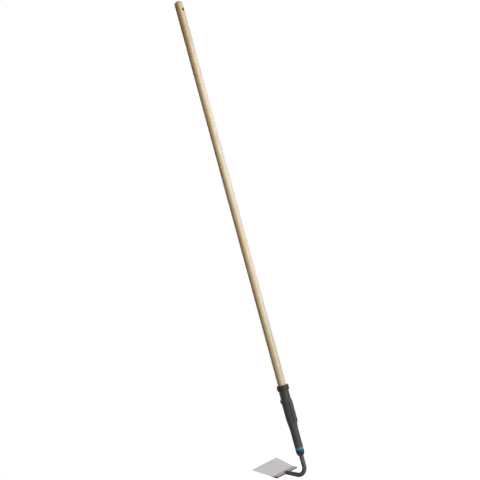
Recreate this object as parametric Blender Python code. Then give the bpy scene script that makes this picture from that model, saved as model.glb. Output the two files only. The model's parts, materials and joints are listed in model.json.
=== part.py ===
"""Garden draw hoe: an ash handle in a moulded socket, a steel gooseneck and a ground blade.

Metres, +Z up the handle, +Y the way the blade points, +X across the blade.
The origin is the centre of the hanging hole.
Run it with: blender --background --python part.py
"""
import math

import bmesh
import bpy
from mathutils import Matrix, Vector

# Fits
GAP = 0.0003                    # clearance between pieces that touch or hold each other
CUT_OVERRUN = 0.004             # how far a cutter runs past the face it opens

# Ash handle
HANDLE_LENGTH = 1.400
HANDLE_DIAMETER = 0.028
HANDLE_DOME = 0.011             # height of the rounded top end
HANDLE_CHAMFER = 0.002          # lead-in at the lower end
HANG_HOLE_DIAMETER = 0.009
HANG_HOLE_FROM_TOP = 0.031
HANG_HOLE_FLARE = 0.0009        # how much the eased rim widens the hole
HANDLE_INSERTION = 0.073        # length of wood inside the socket, from the collar's top

# Socket, from the top down
SOCKET_LENGTH = 0.245           # collar top to nose tip
SLEEVE_WALL = 0.0024            # wall round the wood
COLLAR_HEIGHT = 0.018
COLLAR_WALL = 0.0030            # how far the collar stands out from the sleeve's neck
COLLAR_LIP = 0.0030             # thickness of the collar over the sleeve's mouth
COLLAR_ROUND = 0.0030
MOUTH_REBATE = 0.0008           # step in the sleeve that the collar is pressed over
SHOULDER_DEPTH = 0.049          # where the fluted body starts
SHOULDER_STEP = 0.0005
BODY_END_DEPTH = 0.112          # where the body starts to taper
TAPER_LENGTH = 0.046
TAPER_SOFTNESS = 0.45           # 0 is a plain cone, 1 a full S curve
WAIST_WALL = 0.0067             # wall round the shank below the taper
SOCKET_WEB = 0.012              # solid wall between the wood's end and the shank's top
FLUTE_COUNT = 15
FLUTE_DEPTH = 0.0008
FLUTE_LEAD = 0.003              # plain length between the shoulder and the flutes
FLUTE_FADE = 0.008              # length over which the flutes reach full depth
FLUTE_RUNOUT = 0.024            # length over which they die out along the taper

# Raised panel on the back, screw boss on the front
PANEL_TOP_DEPTH = 0.048
PANEL_LENGTH = 0.083
PANEL_WIDTH = 0.0174
PANEL_RISE = 0.0018
PANEL_CROWN = 0.0008            # how much its face falls off to its sides
PANEL_RAMP = 0.010
PANEL_ROUND = 0.0010
BOSS_DEPTH = 0.0545
BOSS_WIDTH = 0.0190
BOSS_HEIGHT = 0.0160
BOSS_RISE = 0.0020
BOSS_DRAFT = 0.0012             # how far its sides lean in
BOSS_CORNER = 0.0055
BOSS_ROUND = 0.0008

# Coloured ring and nose cap
RING_HEIGHT = 0.009
RING_WALL = 0.0024
NOSE_LENGTH = 0.020
NOSE_TIP_WALL = 0.0017          # wall of the nose round the neck, at its tip
NOSE_STRAIGHT = 0.004
NOSE_FULLNESS = 2.2             # 1 is a cone, more is rounder
NOSE_SOCKET_DEPTH = 0.012       # how far the cap reaches over the sleeve's tail
NOSE_WALL = 0.0035
NOSE_FLUTES = 9
NOSE_FLUTE_DEPTH = 0.0010
NOSE_TIP_FLUTE_DEPTH = 0.0005

# Gooseneck
NECK_DIAMETER = 0.014
NECK_TIP_DIAMETER = 0.0123
NECK_DROP = 0.0365              # straight length below the nose
NECK_BEND_RADIUS = 0.030
NECK_RISE_DEG = 15.0            # the run past the bend climbs at this angle
NECK_RUN = 0.0435               # straight length from the bend to the blade's rear edge
NECK_LAP = 0.0050               # how far the slotted end laps over the blade's flange
NECK_CHAMFER = 0.0018           # at the welded end
SHANK_CHAMFER = 0.0008
SHANK_FLAT_DEPTH = 0.0022       # depth of the two flats that key the shank in the socket
SHANK_FLAT_LENGTH = 0.030
SHANK_HEAD = 0.012              # full round left above the flats

# Blade
BLADE_WIDTH = 0.140             # along the cutting edge
FLANGE_WIDTH = 0.115
FLANGE_DEPTH = 0.0150
FLANGE_THICKNESS = 0.0036
FLANGE_RISE_DEG = 17.0
FOLD_DEG = 8.0                  # how much steeper the plate climbs than the flange
FOLD_RADIUS = 0.006
PLATE_DEPTH = 0.0810
PLATE_THICKNESS = 0.0020        # at the start of the ground bevel
BEVEL_DEPTH = 0.0050
EDGE_THICKNESS = 0.0006
SIDE_GRIND = 0.0050             # width ground away under each side
SIDE_LAND = 0.0010
CORNER_RADIUS = 0.0030

# Weld and screw
WELD_SIZE = 0.0026
SCREW_DIAMETER = 0.004
SCREW_BITE = 0.020              # length of screw in the wood
SCREW_HEAD_DIAMETER = 0.008
SCREW_HEAD_HEIGHT = 0.0022
SCREW_DRIVE_WIDTH = 0.0012
SCREW_DRIVE_SPAN = 0.0044
SCREW_DRIVE_DEPTH = 0.0012

# Facets
HANDLE_SIDES = 48
SOCKET_SIDES = 6 * FLUTE_COUNT
NOSE_SIDES = 6 * NOSE_FLUTES
NECK_SIDES = 28
SCREW_SIDES = 20

# Sizes that follow from the ones above
handle_radius = HANDLE_DIAMETER / 2
neck_radius = NECK_DIAMETER / 2
bore_radius = handle_radius + GAP
sleeve_radius = bore_radius + SLEEVE_WALL
body_radius = sleeve_radius + SHOULDER_STEP
mouth_radius = sleeve_radius - MOUTH_REBATE
collar_radius = sleeve_radius + COLLAR_WALL
shank_bore_radius = neck_radius + GAP
waist_radius = shank_bore_radius + WAIST_WALL
ring_seat_radius = waist_radius - RING_WALL - GAP
tail_radius = waist_radius - NOSE_WALL - GAP

handle_top = HANG_HOLE_FROM_TOP
handle_foot = handle_top - HANDLE_LENGTH
socket_top = handle_foot + HANDLE_INSERTION
nose_tip = socket_top - SOCKET_LENGTH
shank_top = handle_foot - GAP - SOCKET_WEB - GAP
ring_top_depth = SOCKET_LENGTH - NOSE_LENGTH - RING_HEIGHT
tail_end_depth = SOCKET_LENGTH - NOSE_LENGTH + NOSE_SOCKET_DEPTH


def clear_scene():
    for item in list(bpy.data.objects):
        bpy.data.objects.remove(item, do_unlink=True)


def make_material(name, colour, roughness, metallic=0.0):
    material = bpy.data.materials.new(name)
    material.use_nodes = True
    shader = material.node_tree.nodes["Principled BSDF"]
    shader.inputs["Base Color"].default_value = (*colour, 1.0)
    shader.inputs["Roughness"].default_value = roughness
    shader.inputs["Metallic"].default_value = metallic
    material.diffuse_color = (*colour, 1.0)
    return material


def make_empty(name, parent=None, location=(0, 0, 0), tilt=0.0):
    empty = bpy.data.objects.new(name, None)
    bpy.context.collection.objects.link(empty)
    empty.empty_display_size = 0.02
    empty.parent = parent
    empty.location = location
    empty.rotation_euler = (tilt, 0, 0)
    return empty


def make_object(name, bm, parent, material=None):
    """Close the mesh, point its faces out and place it under its parent."""
    bmesh.ops.remove_doubles(bm, verts=bm.verts, dist=1e-7)
    bmesh.ops.recalc_face_normals(bm, faces=bm.faces)
    mesh = bpy.data.meshes.new(name)
    bm.to_mesh(mesh)
    bm.free()
    mesh.shade_smooth()
    mesh.set_sharp_from_angle(angle=math.radians(35))
    item = bpy.data.objects.new(name, mesh)
    bpy.context.collection.objects.link(item)
    item.parent = parent
    if material:
        mesh.materials.append(material)
    else:
        item.hide_render = True
        item.display_type = "WIRE"
    return item


def combine(target, other, operation="DIFFERENCE"):
    modifier = target.modifiers.new(f"{operation.lower()} {other.name}", "BOOLEAN")
    modifier.operation = operation
    modifier.solver = "EXACT"
    modifier.object = other


def turned_bmesh(outline, sides, closed=False):
    """Turn a list of (radius, height) points round the Z axis."""
    bm = bmesh.new()
    verts = [bm.verts.new((radius, 0, height)) for radius, height in outline]
    edges = [bm.edges.new(pair) for pair in zip(verts, verts[1:])]
    if closed:
        edges.append(bm.edges.new((verts[-1], verts[0])))
    bmesh.ops.spin(
        bm, geom=verts + edges, cent=(0, 0, 0), axis=(0, 0, 1),
        angle=math.tau, steps=sides, use_merge=True,
    )
    return bm


def box_bmesh(low, high):
    bm = bmesh.new()
    bmesh.ops.create_cube(bm, size=1.0)
    low, high = Vector(low), Vector(high)
    size = high - low
    scale = Matrix.Diagonal((*size, 1.0))
    bmesh.ops.transform(bm, matrix=Matrix.Translation((low + high) / 2) @ scale, verts=bm.verts)
    return bm


def loft_bmesh(sections):
    """Skin a list of closed sections, each with as many points, and cap both ends."""
    bm = bmesh.new()
    rings = [[bm.verts.new(point) for point in section] for section in sections]
    for ring, following in zip(rings, rings[1:]):
        for index in range(len(ring)):
            after = (index + 1) % len(ring)
            bm.faces.new((ring[index], ring[after], following[after], following[index]))
    bm.faces.new(rings[0])
    bm.faces.new(rings[-1])
    return bm


def arc(centre, radius, start_deg, end_deg, steps):
    """Points (radius, height) of a round stretch of a turned outline."""
    points = []
    for step in range(steps + 1):
        angle = math.radians(start_deg + (end_deg - start_deg) * step / steps)
        points.append((centre[0] + radius * math.cos(angle), centre[1] + radius * math.sin(angle)))
    return points


def smooth_step(value):
    value = min(max(value, 0.0), 1.0)
    return value * value * (3 - 2 * value)


def press_flutes(bm, count, first_angle, least_radius, depth_at, sharpness):
    """Press grooves into the outer wall of a turned mesh, deepest at first_angle."""
    for vert in bm.verts:
        radius = math.hypot(vert.co.x, vert.co.y)
        if radius < least_radius:
            continue
        angle = math.atan2(vert.co.y, vert.co.x)
        wave = math.cos(count * (angle - first_angle))
        groove = max(wave, 0.0) ** sharpness
        scale = 1 - depth_at(vert.co.z) * groove / radius
        vert.co.x *= scale
        vert.co.y *= scale


def build_handle(parent, material):
    """Turned ash shaft: domed top, chamfered foot, hanging hole and pilot hole."""
    straight_top = handle_top - HANDLE_DOME
    dome_steps = 8
    outline = [(0.0, handle_top)]
    for step in range(1, dome_steps + 1):
        angle = math.pi / 2 * step / dome_steps
        outline.append((handle_radius * math.sin(angle), straight_top + HANDLE_DOME * math.cos(angle)))
    outline.append((handle_radius, socket_top))
    outline.append((handle_radius, handle_foot + HANDLE_CHAMFER))
    outline.append((handle_radius - HANDLE_CHAMFER, handle_foot))
    outline.append((0.0, handle_foot))
    handle = make_object("handle_shaft", turned_bmesh(outline, HANDLE_SIDES), parent, material)

    hole_radius = HANG_HOLE_DIAMETER / 2
    rim = handle_radius - 2 * HANG_HOLE_FLARE
    flare_radius = hole_radius + 3 * HANG_HOLE_FLARE
    end = rim + 3 * HANG_HOLE_FLARE
    profile = [(0, end), (flare_radius, end), (hole_radius, rim), (hole_radius, -rim), (flare_radius, -end), (0, -end)]
    hole = make_object("hang_hole_cutter", turned_bmesh(profile, SCREW_SIDES), parent)
    hole.rotation_euler = (math.pi / 2, 0, 0)
    combine(handle, hole)
    return handle


def build_sleeve(parent, material):
    """Moulded sleeve: mouth, neck, fluted body, taper, waist, ring seat and tail."""
    mouth = -(COLLAR_LIP + GAP)
    outline = [(0.0, mouth), (mouth_radius, mouth)]
    outline.append((mouth_radius, -COLLAR_HEIGHT - GAP))
    outline.append((sleeve_radius, -COLLAR_HEIGHT - GAP))
    outline.append((sleeve_radius, -SHOULDER_DEPTH))
    outline.append((body_radius, -SHOULDER_DEPTH - SHOULDER_STEP))
    flute_top = SHOULDER_DEPTH + SHOULDER_STEP + FLUTE_LEAD
    fade_steps = 4
    for step in range(fade_steps + 1):
        outline.append((body_radius, -(flute_top + FLUTE_FADE * step / fade_steps)))
    taper_steps = 12
    for step in range(taper_steps + 1):
        share = step / taper_steps
        curve = (1 - TAPER_SOFTNESS) * share + TAPER_SOFTNESS * smooth_step(share)
        radius = body_radius + (waist_radius - body_radius) * curve
        outline.append((radius, -BODY_END_DEPTH - TAPER_LENGTH * share))
    outline.append((waist_radius, -ring_top_depth))
    outline.append((ring_seat_radius, -ring_top_depth))
    outline.append((ring_seat_radius, -(ring_top_depth + RING_HEIGHT)))
    outline.append((tail_radius, -(ring_top_depth + RING_HEIGHT)))
    outline.append((tail_radius, -tail_end_depth))
    outline.append((0.0, -tail_end_depth))
    bm = turned_bmesh(outline, SOCKET_SIDES)

    def depth_at(height):
        depth = -height
        fade_in = smooth_step((depth - flute_top) / FLUTE_FADE)
        fade_out = 1 - smooth_step((depth - BODY_END_DEPTH) / FLUTE_RUNOUT)
        return FLUTE_DEPTH * fade_in * fade_out

    press_flutes(bm, FLUTE_COUNT, math.pi / 2, bore_radius + GAP, depth_at, 2)
    return make_object("socket_sleeve", bm, parent, material)


def build_handle_bore(parent):
    """Cutter for the bore that takes the wood, open at the sleeve's mouth."""
    bottom = -(HANDLE_INSERTION + GAP)
    outline = [(0.0, bottom), (bore_radius, bottom), (bore_radius, CUT_OVERRUN), (0.0, CUT_OVERRUN)]
    return make_object("handle_bore_cutter", turned_bmesh(outline, SOCKET_SIDES), parent)


def build_panel(parent):
    """Raised bare panel down the back of the sleeve, ramped in at its top."""
    root = waist_radius / 2
    bottom = -(PANEL_TOP_DEPTH + PANEL_LENGTH)
    sections = []
    strips = 8
    for strip in range(strips + 1):
        across = 2 * strip / strips - 1
        side = across * PANEL_WIDTH / 2
        face = body_radius + PANEL_RISE - PANEL_CROWN * across ** 2
        ramp_foot = math.sqrt(body_radius ** 2 - side ** 2) - GAP
        sections.append([
            (side, -root, -PANEL_TOP_DEPTH),
            (side, -ramp_foot, -PANEL_TOP_DEPTH),
            (side, -face, -PANEL_TOP_DEPTH - PANEL_RAMP),
            (side, -face, bottom),
            (side, -root, bottom),
        ])
    panel = make_object("panel_form", loft_bmesh(sections), parent)
    bevel = panel.modifiers.new("soft edges", "BEVEL")
    bevel.width = PANEL_ROUND
    bevel.segments = 2
    bevel.limit_method = "ANGLE"
    return panel


def build_boss(parent):
    """Rounded screw boss on the front of the sleeve, with leaning sides."""
    root = body_radius / 2
    face = body_radius + BOSS_RISE
    levels = [(root, -BOSS_DRAFT), (face - BOSS_ROUND, 0.0), (face - BOSS_ROUND / 4, BOSS_ROUND / 4)]
    levels.append((face, BOSS_ROUND))
    sections = []
    for distance, inset in levels:
        corner = BOSS_CORNER - inset
        section = []
        for quarter in range(4):
            right = quarter in (0, 3)
            upper = quarter in (0, 1)
            centre_x = (BOSS_WIDTH / 2 - BOSS_CORNER) * (1 if right else -1)
            centre_z = (BOSS_HEIGHT / 2 - BOSS_CORNER) * (1 if upper else -1)
            for step in range(6):
                angle = math.pi / 2 * (quarter + step / 5)
                section.append((centre_x + corner * math.cos(angle), distance, centre_z + corner * math.sin(angle)))
        sections.append(section)
    boss = make_object("boss_form", loft_bmesh(sections), parent)
    boss.location = (0, 0, -BOSS_DEPTH)
    return boss


def head_seat():
    """Distance from the handle's axis to the face under the screw's head."""
    return body_radius + BOSS_RISE - SCREW_HEAD_HEIGHT - GAP


def build_screw_hole(parent):
    """Cutter for the counterbore in the boss and the clearance hole into the wood."""
    shaft = SCREW_DIAMETER / 2 + GAP
    head = SCREW_HEAD_DIAMETER / 2 + GAP
    seat = head_seat() - GAP
    end = handle_radius - SCREW_BITE - GAP
    outer = body_radius + BOSS_RISE + CUT_OVERRUN
    outline = [(0.0, end), (shaft, end), (shaft, seat), (head, seat), (head, outer), (0.0, outer)]
    hole = make_object("screw_hole_cutter", turned_bmesh(outline, SCREW_SIDES), parent)
    hole.location = (0, 0, -BOSS_DEPTH)
    hole.rotation_euler = (-math.pi / 2, 0, 0)
    return hole


def build_screw(parent, material):
    """Pan-head wood screw that pins the handle in the socket."""
    shaft = SCREW_DIAMETER / 2
    head = SCREW_HEAD_DIAMETER / 2
    seat = head_seat()
    tip = handle_radius - SCREW_BITE
    crown = seat + SCREW_HEAD_HEIGHT
    outline = [(0.0, tip), (shaft, tip + SCREW_DIAMETER), (shaft, seat), (head, seat)]
    outline.append((head, seat + SCREW_HEAD_HEIGHT / 2))
    outline.append((head * 0.8, crown - SCREW_HEAD_HEIGHT * 0.15))
    outline.append((head * 0.45, crown))
    outline.append((0.0, crown))
    screw = make_object("handle_screw", turned_bmesh(outline, SCREW_SIDES), parent, material)
    half_width = SCREW_DRIVE_WIDTH / 2
    half_span = SCREW_DRIVE_SPAN / 2
    for name, across, along in (("drive_slot_a", half_width, half_span), ("drive_slot_b", half_span, half_width)):
        low = (-across, -along, crown - SCREW_DRIVE_DEPTH)
        slot = make_object(name, box_bmesh(low, (across, along, crown + CUT_OVERRUN)), screw)
        combine(screw, slot)
    screw.location = (0, 0, -BOSS_DEPTH)
    screw.rotation_euler = (-math.pi / 2, 0, 0)
    return screw


def build_collar(parent, material):
    """Soft collar pressed over the sleeve's mouth, with a lip round the wood."""
    seat = mouth_radius + GAP
    outline = [(bore_radius, 0.0)]
    outline += arc((collar_radius - COLLAR_ROUND, -COLLAR_ROUND), COLLAR_ROUND, 90, 0, 5)
    outline += arc((collar_radius - COLLAR_ROUND, COLLAR_ROUND - COLLAR_HEIGHT), COLLAR_ROUND, 0, -90, 5)
    outline += [(seat, -COLLAR_HEIGHT), (seat, -COLLAR_LIP), (bore_radius, -COLLAR_LIP)]
    return make_object("socket_collar", turned_bmesh(outline, HANDLE_SIDES, closed=True), parent, material)


def build_ring(parent, material):
    """Coloured ring held between the sleeve's waist and the nose cap."""
    inner = ring_seat_radius + GAP
    top = -(ring_top_depth + GAP)
    bottom = -(ring_top_depth + RING_HEIGHT - GAP)
    edge = GAP
    outline = [
        (inner, top), (waist_radius - edge, top), (waist_radius, top - edge),
        (waist_radius, bottom + edge), (waist_radius - edge, bottom), (inner, bottom),
    ]
    return make_object("accent_ring", turned_bmesh(outline, SOCKET_SIDES, closed=True), parent, material)


def build_nose(parent, material):
    """Fluted nose cap pressed over the sleeve's tail, closing on the neck."""
    top = -(SOCKET_LENGTH - NOSE_LENGTH)
    tip = -SOCKET_LENGTH
    inner = tail_radius + GAP
    shelf = -(tail_end_depth + GAP)
    tip_radius = shank_bore_radius + NOSE_TIP_WALL
    dome = NOSE_LENGTH - NOSE_STRAIGHT
    outline = [(inner, top), (waist_radius, top)]
    dome_steps = 8
    for step in range(dome_steps + 1):
        share = 1 - step / dome_steps
        radius = tip_radius + (waist_radius - tip_radius) * (1 - (1 - share) ** NOSE_FULLNESS)
        outline.append((radius, tip + dome * share))
    outline += [(shank_bore_radius, tip), (shank_bore_radius, shelf), (inner, shelf)]
    bm = turned_bmesh(outline, NOSE_SIDES, closed=True)

    def depth_at(height):
        share = (height - tip) / dome
        depth = NOSE_TIP_FLUTE_DEPTH + (NOSE_FLUTE_DEPTH - NOSE_TIP_FLUTE_DEPTH) * smooth_step(3 * share)
        return depth * smooth_step(3 * (1 - share))

    press_flutes(bm, NOSE_FLUTES, 0.0, inner + GAP, depth_at, 1.5)
    return make_object("nose_cap", bm, parent, material)


def neck_stations():
    """Centre, heading and radius down the gooseneck, in the plane x = 0, from the nose tip."""
    rise = math.radians(NECK_RISE_DEG)
    down = Vector((0, 0, -1))
    head = shank_top - nose_tip
    stations = [(Vector((0, 0, head)), down, neck_radius - SHANK_CHAMFER)]
    stations.append((Vector((0, 0, head - SHANK_CHAMFER)), down, neck_radius))
    turn = math.pi / 2 + rise
    bend_steps = 16
    for step in range(bend_steps + 1):
        angle = turn * step / bend_steps
        centre = Vector((0, NECK_BEND_RADIUS * (1 - math.cos(angle)), -NECK_DROP - NECK_BEND_RADIUS * math.sin(angle)))
        heading = Vector((0, math.sin(angle), -math.cos(angle)))
        stations.append((centre, heading, neck_radius))
    bend_end, heading, _ = stations[-1]
    tip_radius = NECK_TIP_DIAMETER / 2
    run = NECK_RUN + NECK_LAP
    stations.append((bend_end + heading * (run - NECK_CHAMFER), heading, tip_radius))
    stations.append((bend_end + heading * run, heading, tip_radius - NECK_CHAMFER))
    return stations


def flange_seat_place():
    """Middle of the blade's rear edge, measured from the nose tip."""
    end, heading, _ = neck_stations()[-1]
    return end - heading * NECK_LAP


def ring_round(centre, heading, radius, sides):
    across = Vector((1, 0, 0))
    up = across.cross(heading)
    points = []
    for side in range(sides):
        angle = math.tau * side / sides
        points.append(centre + radius * (math.cos(angle) * across + math.sin(angle) * up))
    return points


def build_neck(neck_root, flange_seat, material):
    """Steel gooseneck with keyed shank and slotted end."""
    sections = [ring_round(centre, heading, radius, NECK_SIDES) for centre, heading, radius in neck_stations()]
    neck = make_object("gooseneck", loft_bmesh(sections), neck_root, material)
    for sign, name in ((-1, "left_flat_cutter"), (1, "right_flat_cutter")):
        combine(neck, build_flat_cutter(neck_root, name, sign, 0.0))
    half = FLANGE_THICKNESS / 2 + GAP
    reach = neck_radius + CUT_OVERRUN
    low = (-reach, -GAP, -half)
    high = (reach, NECK_LAP + CUT_OVERRUN, half)
    combine(neck, make_object("neck_slot_cutter", box_bmesh(low, high), flange_seat))
    return neck


def build_flat_cutter(parent, name, sign, inset):
    """Block beside the shank: inset keeps it clear of the shank and its flat's ends."""
    top = shank_top - nose_tip - SHANK_HEAD - inset
    near = neck_radius - SHANK_FLAT_DEPTH + inset
    far = neck_radius + CUT_OVERRUN
    bottom = top - SHANK_FLAT_LENGTH + 2 * inset
    low = (min(sign * near, sign * far), -far, bottom)
    high = (max(sign * near, sign * far), far, top)
    return make_object(name, box_bmesh(low, high), parent)


def build_shank_bore(neck_root):
    """Cutter for the hollow that the shank leaves in the sleeve moulded round it."""
    top = shank_top - nose_tip + GAP
    bottom = NOSE_LENGTH - NOSE_SOCKET_DEPTH - CUT_OVERRUN
    outline = [(0.0, top), (shank_bore_radius, top), (shank_bore_radius, bottom), (0.0, bottom)]
    bore = make_object("shank_bore_cutter", turned_bmesh(outline, NECK_SIDES), neck_root)
    for sign, name in ((-1, "left_key_form"), (1, "right_key_form")):
        combine(bore, build_flat_cutter(neck_root, name, sign, GAP))
    return bore


def blade_stations():
    """Rows of the blade, rear to front, in the flange's own frame.

    Each row is (upper point, normal, thickness, half width, side grind).
    """
    fold = math.radians(FOLD_DEG)
    upper = FLANGE_THICKNESS / 2
    flat_normal = Vector((0, 0, 1))
    half_flange = FLANGE_WIDTH / 2
    rows = [(Vector((0, 0, upper)), flat_normal, FLANGE_THICKNESS, half_flange, 0.0)]
    fold_start = Vector((0, FLANGE_DEPTH - FOLD_RADIUS * math.tan(fold / 2), upper))
    fold_centre = fold_start + FOLD_RADIUS * flat_normal
    fold_steps = 3
    for step in range(fold_steps + 1):
        angle = fold * step / fold_steps
        normal = Vector((0, -math.sin(angle), math.cos(angle)))
        rows.append((fold_centre - FOLD_RADIUS * normal, normal, FLANGE_THICKNESS, half_flange, 0.0))
    start, normal = rows[-1][0], rows[-1][1]
    along = Vector((0, math.cos(fold), math.sin(fold)))

    def plate_row(distance, edge_inset=0.0):
        share = distance / PLATE_DEPTH
        bevel_start = PLATE_DEPTH - BEVEL_DEPTH
        thinning = min(distance / bevel_start, 1.0)
        thickness = FLANGE_THICKNESS + (PLATE_THICKNESS - FLANGE_THICKNESS) * thinning
        drop = max(distance - bevel_start, 0.0) / BEVEL_DEPTH * (PLATE_THICKNESS - EDGE_THICKNESS)
        half_width = half_flange + (BLADE_WIDTH - FLANGE_WIDTH) / 2 * share - edge_inset
        grind = SIDE_GRIND * min(distance / (2 * SIDE_GRIND), 1.0)
        return start + along * distance - normal * drop, normal, thickness - drop, half_width, grind

    rows.append(plate_row(2 * SIDE_GRIND))
    rows.append(plate_row(PLATE_DEPTH - BEVEL_DEPTH))
    corner_steps = 4
    for step in range(corner_steps + 1):
        angle = math.pi / 2 * step / corner_steps
        rows.append(plate_row(
            PLATE_DEPTH - CORNER_RADIUS * (1 - math.sin(angle)), CORNER_RADIUS * (1 - math.cos(angle))))
    return rows


def build_blade(flange_seat, material):
    """Pressed and ground blade: thick rear flange, fold, thinning plate and cutting bevel."""
    sections = []
    for point, normal, thickness, half_width, grind in blade_stations():
        land = min(SIDE_LAND, thickness / 2) if grind else thickness / 2
        section = [point + Vector((half_width, 0, 0)), point - Vector((half_width, 0, 0))]
        section.append(section[1] - normal * land)
        section.append(point - Vector((half_width - grind, 0, 0)) - normal * thickness)
        section.append(point + Vector((half_width - grind, 0, 0)) - normal * thickness)
        section.append(section[0] - normal * land)
        sections.append(section)
    blade = make_object("hoe_blade", loft_bmesh(sections), flange_seat, material)
    return blade


def build_weld(flange_seat, material, name, side):
    """Fillet of weld metal round the neck's end, on one face of the flange."""
    height = side * (FLANGE_THICKNESS / 2 + GAP)
    tip_radius = NECK_TIP_DIAMETER / 2
    half = math.sqrt(max(tip_radius ** 2 - height ** 2, 0.0)) + GAP
    front = NECK_LAP + GAP
    corner = WELD_SIZE * 1.3
    turn_steps = 4
    route = [Vector((-half, GAP, height))]
    for step in range(turn_steps + 1):
        angle = math.pi / 2 * step / turn_steps
        route.append(Vector((
            corner - half - corner * math.cos(angle), front - corner + corner * math.sin(angle), height)))
    route += [Vector((-point.x, point.y, point.z)) for point in reversed(route)]
    sections = []
    for index, point in enumerate(route):
        before = route[max(index - 1, 0)]
        after = route[min(index + 1, len(route) - 1)]
        heading = (after - before).normalized()
        across = heading.cross(Vector((0, 0, 1)))
        points = []
        for step in range(12):
            angle = math.tau * step / 12
            points.append(point + WELD_SIZE * (math.cos(angle) * across + math.sin(angle) * Vector((0, 0, 1))))
        sections.append(points)
    weld = make_object(name, loft_bmesh(sections), flange_seat, material)
    reach = half + 2 * WELD_SIZE
    flange = make_object(
        f"{name}_flange_cutter",
        box_bmesh((-reach, -reach, -abs(height)), (reach, 2 * reach, abs(height))), flange_seat)
    combine(weld, flange)
    return weld


def build_neck_clearance(neck_root):
    """Cutter a gap larger than the neck's end, for what is laid round it."""
    before_end, end = neck_stations()[-2:]
    heading = end[1]
    stations = [(before_end[0] - heading * 2 * NECK_LAP, before_end[2])]
    stations += [(before_end[0] + heading * GAP, before_end[2]), (end[0] + heading * GAP, end[2])]
    sections = [ring_round(centre, heading, radius + GAP, NECK_SIDES) for centre, radius in stations]
    return make_object("neck_clearance_cutter", loft_bmesh(sections), neck_root)


def build_hoe():
    clear_scene()
    ash = make_material("oiled_ash", (0.56, 0.42, 0.26), 0.55)
    nylon = make_material("moulded_nylon", (0.045, 0.044, 0.042), 0.5)
    soft = make_material("soft_collar", (0.030, 0.026, 0.030), 0.7)
    ring_colour = make_material("turquoise_nylon", (0.05, 0.34, 0.42), 0.4)
    nose_colour = make_material("nose_nylon", (0.030, 0.038, 0.036), 0.5)
    coated = make_material("powder_coated_steel", (0.085, 0.085, 0.085), 0.45, 0.3)
    ground = make_material("ground_steel", (0.53, 0.53, 0.51), 0.35, 0.9)
    weld_metal = make_material("weld_metal", (0.07, 0.07, 0.07), 0.55, 0.4)
    zinc = make_material("zinc_plated_steel", (0.35, 0.35, 0.36), 0.35, 1.0)

    hoe = make_empty("hoe")
    socket_seat = make_empty("socket_seat", hoe, (0, 0, socket_top))
    neck_root = make_empty("neck_root", hoe, (0, 0, nose_tip))
    flange_seat = make_empty("flange_seat", neck_root, flange_seat_place(), math.radians(FLANGE_RISE_DEG))

    handle = build_handle(hoe, ash)
    sleeve = build_sleeve(socket_seat, nylon)
    combine(sleeve, build_panel(socket_seat), "UNION")
    combine(sleeve, build_boss(socket_seat), "UNION")
    combine(sleeve, build_handle_bore(socket_seat))
    screw_hole = build_screw_hole(socket_seat)
    combine(sleeve, screw_hole)
    combine(handle, screw_hole)
    combine(sleeve, build_shank_bore(neck_root))
    build_screw(socket_seat, zinc)
    build_collar(socket_seat, soft)
    build_ring(socket_seat, ring_colour)
    build_nose(socket_seat, nose_colour)
    build_neck(neck_root, flange_seat, coated)
    build_blade(flange_seat, ground)
    clearance = build_neck_clearance(neck_root)
    for name, side in (("upper_weld", 1), ("lower_weld", -1)):
        combine(build_weld(flange_seat, weld_metal, name, side), clearance)


build_hoe()
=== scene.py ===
import json
import math
from functools import partial

import bmesh
import bpy
import numpy as np
from bpy.props import FloatProperty, FloatVectorProperty, IntProperty, PointerProperty
from bpy.types import Operator, Panel, PropertyGroup
from mathutils import Matrix, Vector

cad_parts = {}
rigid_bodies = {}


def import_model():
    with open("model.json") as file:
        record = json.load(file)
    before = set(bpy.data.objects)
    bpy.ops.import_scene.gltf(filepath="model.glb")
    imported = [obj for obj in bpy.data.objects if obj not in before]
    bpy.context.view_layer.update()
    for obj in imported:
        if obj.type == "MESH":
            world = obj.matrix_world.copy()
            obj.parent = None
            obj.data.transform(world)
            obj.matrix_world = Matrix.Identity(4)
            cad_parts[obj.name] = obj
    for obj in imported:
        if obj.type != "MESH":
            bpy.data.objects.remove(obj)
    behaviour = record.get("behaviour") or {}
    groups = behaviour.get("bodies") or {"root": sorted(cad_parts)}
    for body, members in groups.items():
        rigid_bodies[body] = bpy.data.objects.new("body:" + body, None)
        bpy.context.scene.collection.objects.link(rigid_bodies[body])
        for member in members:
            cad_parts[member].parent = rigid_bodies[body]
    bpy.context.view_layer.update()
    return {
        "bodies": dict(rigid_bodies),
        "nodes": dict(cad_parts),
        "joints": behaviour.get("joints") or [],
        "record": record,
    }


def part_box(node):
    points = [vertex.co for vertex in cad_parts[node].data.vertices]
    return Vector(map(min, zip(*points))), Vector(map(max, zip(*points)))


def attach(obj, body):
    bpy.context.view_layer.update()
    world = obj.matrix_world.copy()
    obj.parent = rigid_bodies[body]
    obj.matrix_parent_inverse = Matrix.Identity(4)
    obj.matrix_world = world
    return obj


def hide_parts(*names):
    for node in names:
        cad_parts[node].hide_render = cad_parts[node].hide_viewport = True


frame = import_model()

bl_info = {
    "name": "Garden Draw Hoe",
    "version": (1, 0, 0),
    "blender": (4, 5, 0),
    "location": "3D View > Sidebar > Hoe",
    "description": "Builds the looks of a long-handled draw hoe round its CAD frame",
    "category": "Object",
}

# Levels taken from the frame, in metres up the handle
handle_low, handle_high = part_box("handle_shaft")
handle_top = handle_high.z
handle_foot = handle_low.z
socket_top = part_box("socket_collar")[1].z
nose_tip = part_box("nose_cap")[0].z
sleeve_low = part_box("socket_sleeve")[0].z
shank_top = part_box("gooseneck")[1].z
screw_axis = (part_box("handle_screw")[0].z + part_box("handle_screw")[1].z) / 2

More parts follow.
